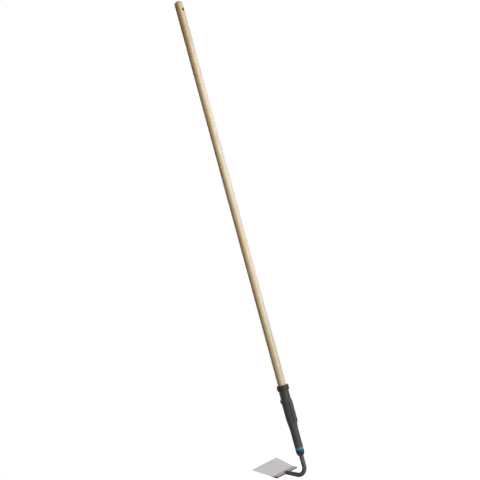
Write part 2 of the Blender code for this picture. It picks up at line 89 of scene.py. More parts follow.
FIT = 0.0001                # seam left between two rigid pieces
BORE_CLEARANCE = 0.0003     # the wood and the shank in their bores
SHOULDER = 0.0005           # the fluted body stands out this far from the sleeve's neck
RING_SEAT = 0.0024          # how deep the coloured ring is let into the waist
NOSE_WALL = 0.0035          # wall of the nose cap at its top
SCREW_PLACE = Matrix.Translation((0, 0, screw_axis)) @ Matrix.Rotation(-math.pi / 2, 4, "X")


def srgb_hex(code):
    """Linear red, green and blue of an sRGB colour such as #C3C2C0."""
    parts = [int(code[place:place + 2], 16) / 255 for place in (1, 3, 5)]
    return tuple(part / 12.92 if part <= 0.04045 else ((part + 0.055) / 1.055) ** 2.4 for part in parts)


# ---- properties of the add-on ----

def length(name, default, description):
    """A size in metres."""
    return FloatProperty(
        name=name, default=default, description=description,
        min=0.0, precision=5, subtype="DISTANCE", unit="LENGTH")


def degrees(name, default, description):
    """An angle, given in degrees."""
    return FloatProperty(
        name=name, default=math.radians(default), description=description, subtype="ANGLE", unit="ROTATION")


def brightness(name, default, description):
    """The strength of a light."""
    return FloatProperty(name=name, default=default, min=0.0, description=description)


def colour(name, code, description):
    """A colour, given as sRGB hex."""
    return FloatVectorProperty(
        name=name, default=srgb_hex(code), description=description,
        size=3, min=0.0, max=1.0, subtype="COLOR")


class HandleSizes(PropertyGroup):
    diameter: length("Diameter", 0.0288, "Diameter of the turned handle")
    dome: length("Dome", 0.011, "Height of the rounded top end")
    hole: length("Hanging Hole", 0.009, "Diameter of the hole near the top end")
    hole_flare: length("Hole Easing", 0.0027, "How far the hole's rims are opened out")


class SocketSizes(PropertyGroup):
    wall: length("Wall", 0.0024, "Wall of the sleeve round the wood")
    collar_height: length("Collar Height", 0.0186, "Height of the soft collar below the sleeve's mouth level")
    collar_wall: length("Collar Wall", 0.0036, "How far the collar stands out")
    collar_lip: length("Collar Lip", 0.0010, "How far the collar rises above the mouth level")
    body_depth: length("Body Top", 0.049, "Where the fluted body starts, below the collar's top")
    body_end: length("Body End", 0.112, "Where the body starts to taper, below the collar's top")
    taper: length("Taper", 0.046, "Length of the taper down to the waist")
    waist: length("Waist Radius", 0.0142, "Radius of the waist and of the nose's top")
    flutes: IntProperty(name="Flutes", default=15, min=3, description="Grooves round the body")
    flute_depth: length("Flute Depth", 0.0008, "Depth of the grooves round the body")
    panel_width: length("Panel Width", 0.0174, "Width of the raised panel at the back")
    panel_length: length("Panel Length", 0.083, "Length of the raised panel at the back")
    panel_rise: length("Panel Rise", 0.0018, "How far the panel stands out")
    boss_width: length("Boss Width", 0.019, "Width of the screw boss")
    boss_height: length("Boss Height", 0.016, "Height of the screw boss")
    boss_rise: length("Boss Rise", 0.002, "How far the screw boss stands out")
    ring_height: length("Ring Height", 0.009, "Height of the coloured ring")
    nose_length: length("Nose Length", 0.020, "Length of the nose cap")
    nose_flutes: IntProperty(name="Nose Flutes", default=8, min=3, description="Grooves round the nose cap")
    nose_flute_depth: length("Nose Flute Depth", 0.0014, "Depth of the grooves round the nose cap")
    nose_tip_radius: length("Nose Tip Radius", 0.0097, "Radius of the nose cap where it closes on the bar")


class NeckSizes(PropertyGroup):
    diameter: length("Bar Diameter", 0.0154, "Diameter of the gooseneck's bar")
    tip_diameter: length("Tip Diameter", 0.0136, "Diameter of the bar at the blade")
    drop: length("Drop", 0.0365, "Straight length below the nose")
    bend_radius: length("Bend Radius", 0.030, "Radius of the bend along the bar's centre")
    rise: degrees("Rise", 15, "How steeply the bar climbs past the bend")
    run: length("Run", 0.0435, "Straight length from the bend to the blade's rear edge")
    lap: length("Lap", 0.005, "How far the slotted end laps over the blade")
    bead: length("Weld Bead", 0.0026, "Size of the weld bead")
    ripple: length("Ripple Spacing", 0.0011, "Distance between the ripples of the weld bead")


class BladeSizes(PropertyGroup):
    width: length("Edge Width", 0.140, "Width of the blade along its cutting edge")
    flange_width: length("Flange Width", 0.1148, "Width of the blade's rear flange")
    flange_depth: length("Flange Depth", 0.0185, "Depth of the flange in front of the neck's end")
    flange_reach: length("Flange Reach", 0.0012, "Depth of the flange behind the neck's end")
    flange_thickness: length("Flange Thickness", 0.0046, "Thickness of the rear flange")
    # These two sizes bound where the flange's ends and the strips beside them are drawn near black.
    dark_end: length("Dark Ends", 0.0030, "How far the dark coat reaches in from the flange's ends")
    dark_depth: length("Dark End Depth", 0.0112, "How far forward the dark coat reaches along the flange's ends")
    flange_rise: degrees("Flange Rise", 17, "How steeply the flange climbs forwards")
    fold: degrees("Fold", 8, "How much steeper the plate climbs than the flange")
    plate_depth: length("Plate Depth", 0.0775, "Depth of the plate from the fold to the edge")
    plate_thickness: length("Plate Thickness", 0.002, "Thickness where the cutting bevel starts")
    bevel: length("Cutting Bevel", 0.005, "Depth of the ground cutting bevel")
    edge: length("Edge Thickness", 0.0006, "Thickness left at the cutting edge")
    side_grind: length("Side Grind", 0.005, "Width ground away under each side")


class FinishColours(PropertyGroup):
    # The sapwood, pale wood and heartwood colours follow the lit and shaded sides of the handle, so they are partly
    # painted light and painted shade.
    ash_sap_and_light: colour("Ash, Sapwood", "#E3E0D8", "Almost white wood on the bark side of the handle")
    ash_cream: colour("Ash, Pale Wood", "#E2D4AE", "Pale yellow wood between heart and bark")
    ash_heart_and_shade: colour("Ash, Heartwood", "#C9A162", "Browner wood on the heart side of the handle")
    ash_open: colour("Ash, Open Wood", "#B08F5E", "Open wood of the rings, the pores and the streaks")
    ash_pink: colour("Ash, Blotches", "#DABE9E", "Soft pinkish blotches in the wood")
    nylon: colour("Sleeve Nylon", "#3F3E3C", "Moulded nylon of the sleeve")
    rubber: colour("Collar Rubber", "#3B312C", "Soft rubber of the collar")
    ring: colour("Ring Nylon", "#2D7E8E", "Coloured nylon of the ring")
    nose: colour("Nose Nylon", "#3A4240", "Moulded nylon of the nose cap")
    coat: colour("Powder Coat", "#545352", "Powder coat of the gooseneck")
    steel: colour("Ground Steel", "#C1BEBD", "Satin ground steel of the plate")
    # The flange's duller steel is partly painted shade for its different tilt.
    flange_steel: colour("Flange Steel", "#9B999A", "Duller steel of the rear flange")
    # Near black for the flange's ends and dark grey for the blade's rear edge.
    flange_end_dark: colour("Edge Coat", "#1E1D1D", "Dark coat left on the flange's ends")
    rear_edge_dark: colour("Edge Oxide", "#4C4A48", "Thin grey oxide on the blade's rear edge")
    zinc: colour("Zinc Plate", "#A7A9AC", "Zinc plating of the screw")
    # Painted shade inside the hanging hole and round its eased rim.
    ash_hole_shade: colour("Ash, Hole", "#7A6850", "Wood in the hanging hole, dark with oil and dirt")
    ash_end: colour("Ash, End Grain", "#907A48", "End grain on the domed top")


class StageSettings(PropertyGroup):
    camera_place: FloatVectorProperty(
        name="Camera Place", default=(-4.12218, -3.39455, -0.55981), size=3,
        subtype="TRANSLATION", unit="LENGTH", description="Where the camera stands")
    camera_heading: degrees(
        "Camera Heading", 39.5609, "Compass direction in which the camera looks, from +X towards +Y")
    camera_pitch: degrees("Camera Pitch", -2.4542, "How far up the camera looks")
    camera_roll: degrees("Camera Roll", -15.2205, "How far the camera is turned about its view, anticlockwise")
    lens: FloatProperty(
        name="Lens", default=120.0, min=1.0, unit="CAMERA", description="Focal length on a 36 mm sensor")
    floor_level: FloatProperty(
        name="Floor Level", default=-2.0, subtype="DISTANCE", unit="LENGTH",
        description="Height of the floor below the hanging tool")
    key_strength: brightness("Key Light", 3.3, "Strength of the key light")
    back_strength: brightness("Back Light", 0.9, "Strength of the back light")
    far_strength: brightness("Far Light", 1.0, "Strength of the light straight behind the tool")
    fill_strength: brightness("Fill", 0.10, "Strength of the soft light from all round")
    floor_colour: colour("Floor", "#DADAD9", "Pale matt floor")


class HoeSettings(PropertyGroup):
    handle: PointerProperty(type=HandleSizes, name="Handle", description="Sizes of the handle")
    socket: PointerProperty(type=SocketSizes, name="Socket", description="Sizes of the socket")
    neck: PointerProperty(type=NeckSizes, name="Gooseneck", description="Sizes of the gooseneck")
    blade: PointerProperty(type=BladeSizes, name="Blade", description="Sizes of the blade")
    finish: PointerProperty(type=FinishColours, name="Finishes", description="Colours of the finishes")
    stage: PointerProperty(type=StageSettings, name="Stage", description="Camera, light and floor")


# ---- nodes ----

SOFT = {"interpolation_type": "SMOOTHSTEP"}             # a range with eased ends
RGBA = {"data_type": "RGBA"}                            # a mix of two colours
TINT = {"data_type": "RGBA", "blend_type": "MULTIPLY"}  # a colour that tints another


def fill(node, *values, **named):
    """Set a node's own settings, which are in lower case, and set or link its inputs.

    Values go to the usable inputs in order; named ones go by name, with an underscore for a space.
    A node given as a value lends its first usable output.
    """
    for name, value in named.items():
        if name.islower():
            setattr(node, name, value)
    pairs = list(zip([socket for socket in node.inputs if socket.enabled], values))
    pairs += [(node.inputs[name.replace("_", " ")], value) for name, value in named.items() if not name.islower()]
    for socket, value in pairs:
        if isinstance(value, bpy.types.Node):
            value = next(output for output in value.outputs if output.enabled)
        if isinstance(value, bpy.types.NodeSocket):
            node.id_data.links.new(value, socket)
        else:
            socket.default_value = value


def add_node(tree, kind, *values, **named):
    """Add a node and fill it; the kind may leave out ShaderNode, and a word after it is the operation."""
    kind, _, operation = kind.partition(" ")
    node = tree.nodes.new(kind if "Node" in kind else f"ShaderNode{kind}")
    if operation:
        node.operation = operation
    fill(node, *values, **named)
    return node


def new_material(name):
    """A material, the call that adds its nodes, its shader, and the object's own coordinates in metres."""
    material = bpy.data.materials.new(name)
    material.use_nodes = True
    add = partial(add_node, material.node_tree)
    shader = material.node_tree.nodes["Principled BSDF"]
    return material, add, shader, add("TexCoord").outputs["Object"]


def new_tree(name, **labels):
    """A geometry tree with named inputs of each kind, the call that adds its nodes, and what it is given."""
    tree = bpy.data.node_groups.new(name, "GeometryNodeTree")
    for kind, names in {"Geometry": ("Geometry",), **labels, "Material": ("Material",)}.items():
        for label in names:
            tree.interface.new_socket(label, in_out="INPUT", socket_type=f"NodeSocket{kind}")
    tree.interface.new_socket("Geometry", in_out="OUTPUT", socket_type="NodeSocketGeometry")
    return tree, partial(add_node, tree), add_node(tree, "NodeGroupInput").outputs


def end_tree(tree, geometry, material):
    """End a tree in real geometry that has its material."""
    real = add_node(tree, "GeometryNodeRealizeInstances", Geometry=geometry)
    painted = add_node(tree, "GeometryNodeSetMaterial", Geometry=real, Material=material)
    add_node(tree, "NodeGroupOutput", Geometry=painted)
    return tree


def set_stops(node, *stops):
    """Set the stops of a colour ramp, from (position, colour) pairs."""
    ramp = node.color_ramp
    for element, (position, shade) in zip(ramp.elements, (stops[0], stops[-1])):
        element.position, element.color = position, shade
    for position, shade in stops[1:-1]:
        ramp.elements.new(position).color = shade


def opaque(rgb, factor=1.0):
    """A colour with its alpha, made lighter or darker by a factor."""
    return (*(min(part * factor, 1.0) for part in rgb), 1.0)


# ---- materials ----

def make_oiled_ash(finish):
    """Ash, turned, sanded and oiled: pale growth rings, long open pores and a soft sheen."""
    material, add, shader, place = new_material("oiled_ash")
    height = add("SeparateXYZ", place).outputs["Z"]
    # The rings are sheets round a heart line beside the handle; it wanders, which draws long arches.
    wander = add("TexNoise", add("Mapping", place, Scale=(14, 14, 1.5)), Scale=1.0, Detail=1.5)
    moved = add("VectorMath MULTIPLY_ADD", wander.outputs["Color"], (0.022, 0.022, 0.0), place)
    radius = add("VectorMath DISTANCE", add("VectorMath MULTIPLY", moved, (1, 1, 0)), (-0.026, 0.050, 0.0))
    # Growth rings about 2.6 mm wide.
    ring = add("ValToRGB", add("Math FRACT", add("Math MULTIPLY", radius, 1 / 0.0026)))
    set_stops(ring, *((position, opaque((1, 1, 1), value)) for position, value in (
        (0.0, 0.15), (0.16, 0.35), (0.30, 1.0), (0.92, 0.82), (1.0, 0.80))))
    # Open pores 0.3 mm across and about 12 mm long, drawn twice as wide so that they show.
    pore_noise = add("TexNoise", add("Mapping", place, Scale=(1500, 1500, 42)), Scale=1.0, Detail=2.0)
    pore = add("MapRange", pore_noise, 0.53, 0.66, 0.0, 1.0, **SOFT)
    # Pores lie mostly in the open wood of each ring.
    pores = add("Math MULTIPLY", pore, add("MapRange", ring, 0.3, 1.0, 1.0, 0.25))
    # Towards the heart the wood is browner, towards the bark it is almost white. The heart line stands on the side
    # turned away from the key light, so the browner wood there is partly painted shade and the white bark side is
    # partly painted light; the boundary shifts a little with height.
    lean = add("MapRange", height, -0.60, -0.35, 0.003, -0.0015, **SOFT)
    sap_and_lit_side = add("MapRange", add("Math ADD", radius, lean), 0.043, 0.070, 0.0, 1.0, **SOFT)
    heart_sap_and_lit_tone = add("ValToRGB", sap_and_lit_side)
    set_stops(heart_sap_and_lit_tone, (0.0, opaque(finish.ash_heart_and_shade)), (0.55, opaque(finish.ash_cream)), (1.0, opaque(finish.ash_sap_and_light)))
    open_share = add("MapRange", ring, 0.15, 1.0, 0.40, 0.0)
    wood = add("Mix", open_share, heart_sap_and_lit_tone, opaque(finish.ash_open), **RGBA)
    # Soft pinkish blotches some 40 mm wide and 200 mm long.
    blotch = add("TexNoise", add("Mapping", place, Scale=(26, 26, 4.5)), Scale=1.0, Detail=3.0)
    blotch = add("MapRange", blotch, 0.40, 0.70, 0.0, 0.45, **SOFT)
    wood = add("Mix", blotch, wood, opaque(finish.ash_pink), **RGBA)
    # Faint mineral streaks a few millimetres wide run with the grain.
    streak = add("TexNoise", add("Mapping", place, Scale=(330, 330, 5)), Scale=1.0, Detail=3.0)
    streak = add("MapRange", streak, 0.48, 0.72, 0.0, 0.30, **SOFT)
    wood = add("Mix", streak, wood, opaque(finish.ash_open), **RGBA)
    wood = add("Mix", pores, wood, opaque(finish.ash_open, 0.6), **RGBA)
    # The wood is tinted darker and browner towards the top, most on the heart side, and greyer on the sapwood towards
    # the socket; part of this is painted shade of the light falling off along the handle.
    tan = add("MapRange", height, -0.30, -0.02, 0.0, 1.0, **SOFT)
    tan = add("Math MULTIPLY", tan, add("MapRange", sap_and_lit_side, 0.0, 1.0, 1.0, 0.58))
    wood = add("Mix", tan, wood, (0.74, 0.69, 0.53, 1), **TINT)
    dull = add("Math MULTIPLY", add("MapRange", height, -1.25, -0.80, 1.0, 0.0, **SOFT), sap_and_lit_side)
    wood = add("Mix", dull, wood, (0.76, 0.74, 0.70, 1), **TINT)
    # End grain on the dome drinks more oil and turns darker. The bored hole and its eased rim are painted darker
    # still, as painted shade in the recess.
    end_grain = add("MapRange", height, handle_top - 0.013, handle_top - 0.001, 0.0, 0.62, **SOFT)
    wood = add("Mix", end_grain, wood, opaque(finish.ash_end), **RGBA)
    # Painted shade in the hanging hole and on its eased rim.
    from_hole = add("VectorMath LENGTH", add("VectorMath MULTIPLY", place, (1, 0, 1)))
    hole = add("MapRange", from_hole, 0.0047, 0.0064, 0.8, 0.0, **SOFT)
    relief = add("Math SUBTRACT", ring, pores)
    fill(
        shader, Base_Color=add("Mix", hole, wood, opaque(finish.ash_hole_shade), **RGBA),
        Roughness=add("MapRange", pores, 0.0, 1.0, 0.40, 0.72), IOR=1.5, Specular_IOR_Level=0.45,
        Normal=add("Bump", Strength=0.35, Distance=0.00012, Height=relief))
    return material


def make_moulded_nylon(name, rgb, grain_mm, roughness, gloss, ridge_shade, groove_shade, polished_above):
    """Glass-filled nylon from a spark-eroded mould: dark, half matt, with a fine even grain.

    The mould is polished above a level; its grooves are darkened as painted shade and its ridges lightened as painted
    light, and the grooves hardly shine.
    """
    material, add, shader, place = new_material(name)
    grain = add("TexNoise", place, Scale=1000 / grain_mm, Detail=3.0, Roughness=0.6)
    # Glass fibres flow down the mould and leave faint lighter streaks a few millimetres long.
    flow = add("TexNoise", add("Mapping", place, Scale=(420, 420, 90)), Scale=1.0, Detail=4.0)
    tone = add("Mix", flow, opaque(rgb, 0.84), opaque(rgb, 1.16), **RGBA)
    # Painted shade and painted light: the grooves are darkened and the ridges lightened by the given factors, and the
    # grooves also shine less.
    groove = add("Attribute", attribute_name="groove").outputs["Fac"]
    groove_shaded_tone = add("VectorMath SCALE", tone, add("MapRange", groove, 0.0, 1.0, ridge_shade, groove_shade))
    height = add("SeparateXYZ", place).outputs["Z"]
    polished = add("MapRange", height, polished_above - 0.001, polished_above)
    # Polished nylon looks deeper and faintly olive.
    deep_tone = add("VectorMath MULTIPLY", groove_shaded_tone, (0.72, 0.74, 0.64))
    rough = add("MapRange", grain, 0.3, 0.7, roughness - 0.06, roughness + 0.08)
    fill(
        shader, Base_Color=add("Mix", polished, groove_shaded_tone, deep_tone, **RGBA),
        Roughness=add("Math MULTIPLY_ADD", polished, -0.26, rough), IOR=1.53,
        Specular_IOR_Level=add("MapRange", groove, 0.0, 1.0, gloss, gloss * groove_shade),
        Normal=add("Bump", Strength=0.45, Distance=0.00004, Height=grain))
    return material


def make_soft_rubber(rgb):
    """Thermoplastic rubber, moulded: matt and slightly dusty."""
    material, add, shader, place = new_material("soft_moulded_rubber")
    dust = add("TexNoise", place, Scale=180.0, Detail=5.0, Roughness=0.65)
    # Grain of 0.5 mm, near the size that the mould leaves.
    grain = add("TexNoise", place, Scale=2000.0, Detail=2.0)
    fill(
        shader, Base_Color=add("Mix", dust, opaque(rgb, 0.85), opaque(rgb, 1.25), **RGBA),
        Roughness=0.34, IOR=1.5, Specular_IOR_Level=0.16,
        Normal=add("Bump", Strength=0.4, Distance=0.00005, Height=grain))
    return material


def make_coloured_nylon(rgb):
    """Unfilled nylon from a polished mould: even colour, smooth, with faint flow swirls."""
    material, add, shader, place = new_material("polished_coloured_nylon")
    swirl = add("TexNoise", place, Scale=110.0, Detail=3.0, Distortion=1.2)
    ripple = add("TexNoise", place, Scale=380.0, Detail=1.0)
    fill(
        shader, Base_Color=add("Mix", swirl, opaque(rgb, 0.88), opaque(rgb, 1.14), **RGBA),
        Roughness=add("MapRange", swirl, 0.0, 1.0, 0.30, 0.40), IOR=1.53, Specular_IOR_Level=0.28,
        Normal=add("Bump", Strength=0.15, Distance=0.0001, Height=ripple))
    return material


def make_powder_coat(rgb):
    """Steel bar under a baked powder coat: charcoal, half gloss, with an orange-peel skin."""
    material, add, shader, place = new_material("powder_coated_steel")
    # Orange peel with waves of about 1.5 mm.
    peel = add("TexNoise", place, Scale=660.0, Detail=1.5)
    fleck = add("TexNoise", place, Scale=2600.0, Detail=2.0)
    cloud = add("TexNoise", place, Scale=60.0, Detail=3.0)
    share = add("MapRange", add("Math MULTIPLY", fleck, cloud), 0.12, 0.38)
    fill(
        shader, Base_Color=add("Mix", share, opaque(rgb, 0.80), opaque(rgb, 1.22), **RGBA),
        Roughness=add("MapRange", cloud, 0.0, 1.0, 0.40, 0.50), IOR=1.5, Specular_IOR_Level=0.22,
        Normal=add("Bump", Strength=0.30, Distance=0.00012, Height=peel))
    return material


def make_coated_weld(rgb):
    """Weld metal under the same powder coat: lumpy and a little rougher, with painted shade where its lumps sink."""
    material, add, shader, place = new_material("powder_coated_weld")
    lump = add("TexNoise", place, Scale=900.0, Detail=4.0)
    fill(
        shader, Base_Color=add("Mix", lump, opaque(rgb, 0.65), opaque(rgb, 1.1), **RGBA),
        Roughness=add("MapRange", lump, 0.0, 1.0, 0.42, 0.65), IOR=1.5,
        Normal=add("Bump", Strength=0.5, Distance=0.00015, Height=lump))
    return material


def make_dark_edge(name, rgb):
    """Dark, uneven finish of the blade's rear edge and flange ends, rubbed through in spots."""
    material, add, shader, place = new_material(name)
    rub = add("TexNoise", place, Scale=420.0, Detail=6.0, Roughness=0.65)
    bare = add("MapRange", rub, 0.58, 0.78, 0.0, 0.4)
    fill(
        shader, Base_Color=add("Mix", bare, opaque(rgb), opaque(rgb, 2.6), **RGBA),
        Roughness=add("MapRange", rub, 0.0, 1.0, 0.62, 0.40), Specular_IOR_Level=0.15,
        Normal=add("Bump", Strength=0.4, Distance=0.00006, Height=rub))
    return material


def make_ground_steel(finish):
    """Carbon steel, belt ground: satin plate, a duller flange and a darker cutting bevel, both partly painted shade,
    and a painted highlight along the fold.
    """
    material, add, shader, place = new_material("satin_ground_steel")
    # Band tones: flange steel at 0, a painted highlight up to 1.35 times the steel along the fold near 0.3, plate
    # steel from 0.6, and the bevel at 1.0 darkened to 0.57, partly as painted shade.
    zones = add("ValToRGB", add("Attribute", attribute_name="grind_and_light_band").outputs["Fac"])
    set_stops(zones, (0.0, opaque(finish.flange_steel)), *(
        (position, opaque(finish.steel, factor)) for position, factor in (
            (0.30, 1.35), (0.40, 1.04), (0.60, 1.0), (0.75, 1.0), (1.0, 0.57))))
    # Belt lines run across the blade; the real ones are 0.1 mm apart and are drawn at 0.4 mm.
    belt = add("TexNoise", add("Mapping", place, Scale=(9, 2500, 2500)), Scale=1.0, Detail=3.0)
    cloud = add("TexNoise", place, Scale=38.0, Detail=4.0)
    shade = add("MapRange", add("Math MULTIPLY_ADD", cloud, 0.35, belt), 0.40, 0.95, 0.93, 1.05)
    # The sheared sides keep a greyer skin than the ground faces.
    side = add("Attribute", attribute_name="side_tone").outputs["Fac"]
    fill(
        shader, Base_Color=add("VectorMath SCALE", zones, add("Math MULTIPLY", shade, side)), Metallic=1.0,
        Roughness=add("MapRange", belt, 0.3, 0.7, 0.34, 0.46),
        Normal=add("Bump", Strength=0.25, Distance=0.00003, Height=belt))
    return material


def make_zinc_plate(rgb):
    """Steel screw with bright zinc plating: cool grey and faintly spangled."""
    material, add, shader, place = new_material("zinc_plated_steel")
    spangle = add("TexVoronoi", place, Scale=1400.0)
    fill(
        shader, Base_Color=add("Mix", spangle, opaque(rgb, 0.82), opaque(rgb, 1.1), **RGBA),
        Roughness=add("MapRange", spangle, 0.0, 1.0, 0.28, 0.42), Metallic=1.0)
    return material


# ---- meshes ----

def smooth_step(value):
    value = np.clip(value, 0.0, 1.0)
    return value * value * (3 - 2 * value)


def quarter(steps):
    """Sine and cosine at even steps of a quarter turn."""
    angles = [math.pi / 2 * step / steps for step in range(steps + 1)]
    return [(math.sin(angle), math.cos(angle)) for angle in angles]


def skin(rings, start=None, end=None, loop=False):
    """Mesh from rings of points, each joined to the next; start and end close it with a point."""
    count = len(rings[0])
    points = [tuple(point) for ring in rings for point in ring]
    columns = [(column, (column + 1) % count) for column in range(count)]
    pairs = [(row * count, (row + 1) * count) for row in range(len(rings) - 1)]
    if loop:
        pairs.append(((len(rings) - 1) * count, 0))
    faces = [(upper + here, upper + after, lower + after, lower + here)
             for upper, lower in pairs for here, after in columns]
    for tip, row in ((start, 0), (end, (len(rings) - 1) * count)):
        if tip is not None:
            faces += [(row + here, row + after, len(points)) for here, after in columns]
            points.append(tuple(tip))
    mesh = bpy.data.meshes.new("form")
    mesh.from_pydata(points, [], faces)
    point_outwards(mesh)
    return mesh


def point_outwards(mesh):
    """Merge doubled points and turn every face of a closed mesh outwards."""
    bm = bmesh.new()
    bm.from_mesh(mesh)
    bmesh.ops.remove_doubles(bm, verts=bm.verts, dist=1e-7)
    bmesh.ops.recalc_face_normals(bm, faces=bm.faces)
    if bm.calc_volume(signed=True) < 0:
        bmesh.ops.reverse_faces(bm, faces=bm.faces)
    bm.to_mesh(mesh)
    bm.free()


def turned(outline, sides, loop=False):
    """Turn (radius, height) points round the Z axis; a point on the axis closes an end."""
    angles = np.arange(sides) * math.tau / sides
    start, end = [(0, 0, height) if radius == 0 else None for radius, height in (outline[0], outline[-1])]
    rings = [np.stack([radius * np.cos(angles), radius * np.sin(angles), np.full(sides, height)], axis=1)
             for radius, height in outline if radius > 0]
    return skin(rings, start, end, loop)


def rounded_outline(corners, loop=False, steps=5):
    """Outline with rounded corners, from (radius, height, rounding) entries."""
    points = []
    for index, (radius, height, rounding) in enumerate(corners):
        here = Vector((radius, height))
        if rounding <= 0 or (not loop and index in (0, len(corners) - 1)):
            points.append((radius, height))
            continue
        before = Vector(corners[index - 1][:2])
        after = Vector(corners[(index + 1) % len(corners)][:2])
        first = here + (before - here).normalized() * rounding
        last = here + (after - here).normalized() * rounding
        for step in range(steps + 1):
            share = step / steps
            point = first * (1 - share) ** 2 + here * 2 * share * (1 - share) + last * share ** 2
            points.append((point.x, point.y))
    return points


def block(low, high):
    """A box between two corners."""
    bm = bmesh.new()
    bmesh.ops.create_cube(bm, size=1.0)
    low, high = Vector(low), Vector(high)
    place = Matrix.Translation((low + high) / 2) @ Matrix.Diagonal((*(high - low), 1.0))
    bmesh.ops.transform(bm, matrix=place, verts=bm.verts)
    mesh = bpy.data.meshes.new("block")
    bm.to_mesh(mesh)
    bm.free()
    return mesh


def mark(mesh, name, values):
    """Write a number on each point of a mesh."""
    if len(mesh.vertices) != len(values):
        raise RuntimeError(f"some points were merged, so the values of {name} have no places")
    layer = mesh.attributes.new(name, "FLOAT", "POINT")
    layer.data.foreach_set("value", np.asarray(values, np.float32))


def new_item(name, mesh, material=None):
    item = bpy.data.objects.new(name, mesh)
    mesh.name = name
    bpy.context.scene.collection.objects.link(item)
    if material:
        mesh.materials.append(material)
    return item


def settle(item):
    """Give an object the plain mesh that its modifiers make, and remove the modifiers."""
    bpy.context.view_layer.update()
    graph = bpy.context.evaluated_depsgraph_get()
    mesh = bpy.data.meshes.new_from_object(item.evaluated_get(graph))
    old = item.data
    item.modifiers.clear()
    item.data = mesh
    bpy.data.meshes.remove(old)


def carve(item, form, operation="DIFFERENCE"):
    """Cut a closed form out of an object, or join it on."""
    cutter = new_item("cutter", form)
    modifier = item.modifiers.new("carve", "BOOLEAN")
    modifier.operation, modifier.solver, modifier.object = operation, "EXACT", cutter
    settle(item)
    bpy.data.objects.remove(cutter)


def run_tree(item, tree, values):
    """Run a node tree on an object with the named input values."""
    modifier = item.modifiers.new(tree.name, "NODES")
    modifier.node_group = tree
    for socket in tree.interface.items_tree:
        if socket.item_type == "SOCKET" and socket.in_out == "INPUT" and socket.name in values:
            modifier[socket.identifier] = values[socket.name]
    settle(item)


def finish_piece(item, node, sharp_deg):
    """Shade a piece, and let it stand for its CAD node on the one body of the tool."""
    mesh = item.data
    point_outwards(mesh)
    mesh.shade_smooth()
    mesh.set_sharp_from_angle(angle=math.radians(sharp_deg))
    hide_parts(node)
    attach(item, "root")
    if not len(mesh.polygons):
        raise RuntimeError(f"{item.name} has no faces")


# ---- node trees ----

def flute_tree():
    """Tree that presses grooves into a turned wall, where the wall's flute_share lets them."""
    tree, add, given = new_tree(
        "press_flutes", Int=("Flute Count",), Float=("First Angle", "Flute Depth", "Groove Sharpness"))
    across = add("SeparateXYZ", add("GeometryNodeInputPosition")).outputs
    angle = add("Math ARCTAN2", across["Y"], across["X"])
    turn = add("Math SUBTRACT", angle, given["First Angle"])
    wave = add("Math COSINE", add("Math MULTIPLY", turn, given["Flute Count"]))
    groove = add("Math POWER", add("Math MAXIMUM", wave, 0.0), given["Groove Sharpness"])
    share = add("GeometryNodeInputNamedAttribute", Name="flute_share", data_type="FLOAT")
    masked = add("Math MULTIPLY", groove, share)
    marked = add(
        "GeometryNodeStoreNamedAttribute", Geometry=given["Geometry"], Name="groove", Value=masked,
        data_type="FLOAT", domain="POINT")
    inwards = add("Math MULTIPLY", add("Math MULTIPLY", masked, given["Flute Depth"]), -1.0)
    out = add("VectorMath NORMALIZE", add("CombineXYZ", across["X"], across["Y"]))
    offset = add("VectorMath SCALE", out, inwards)
    pressed = add("GeometryNodeSetPosition", Geometry=marked, Offset=offset)
    return end_tree(tree, pressed, given["Material"])


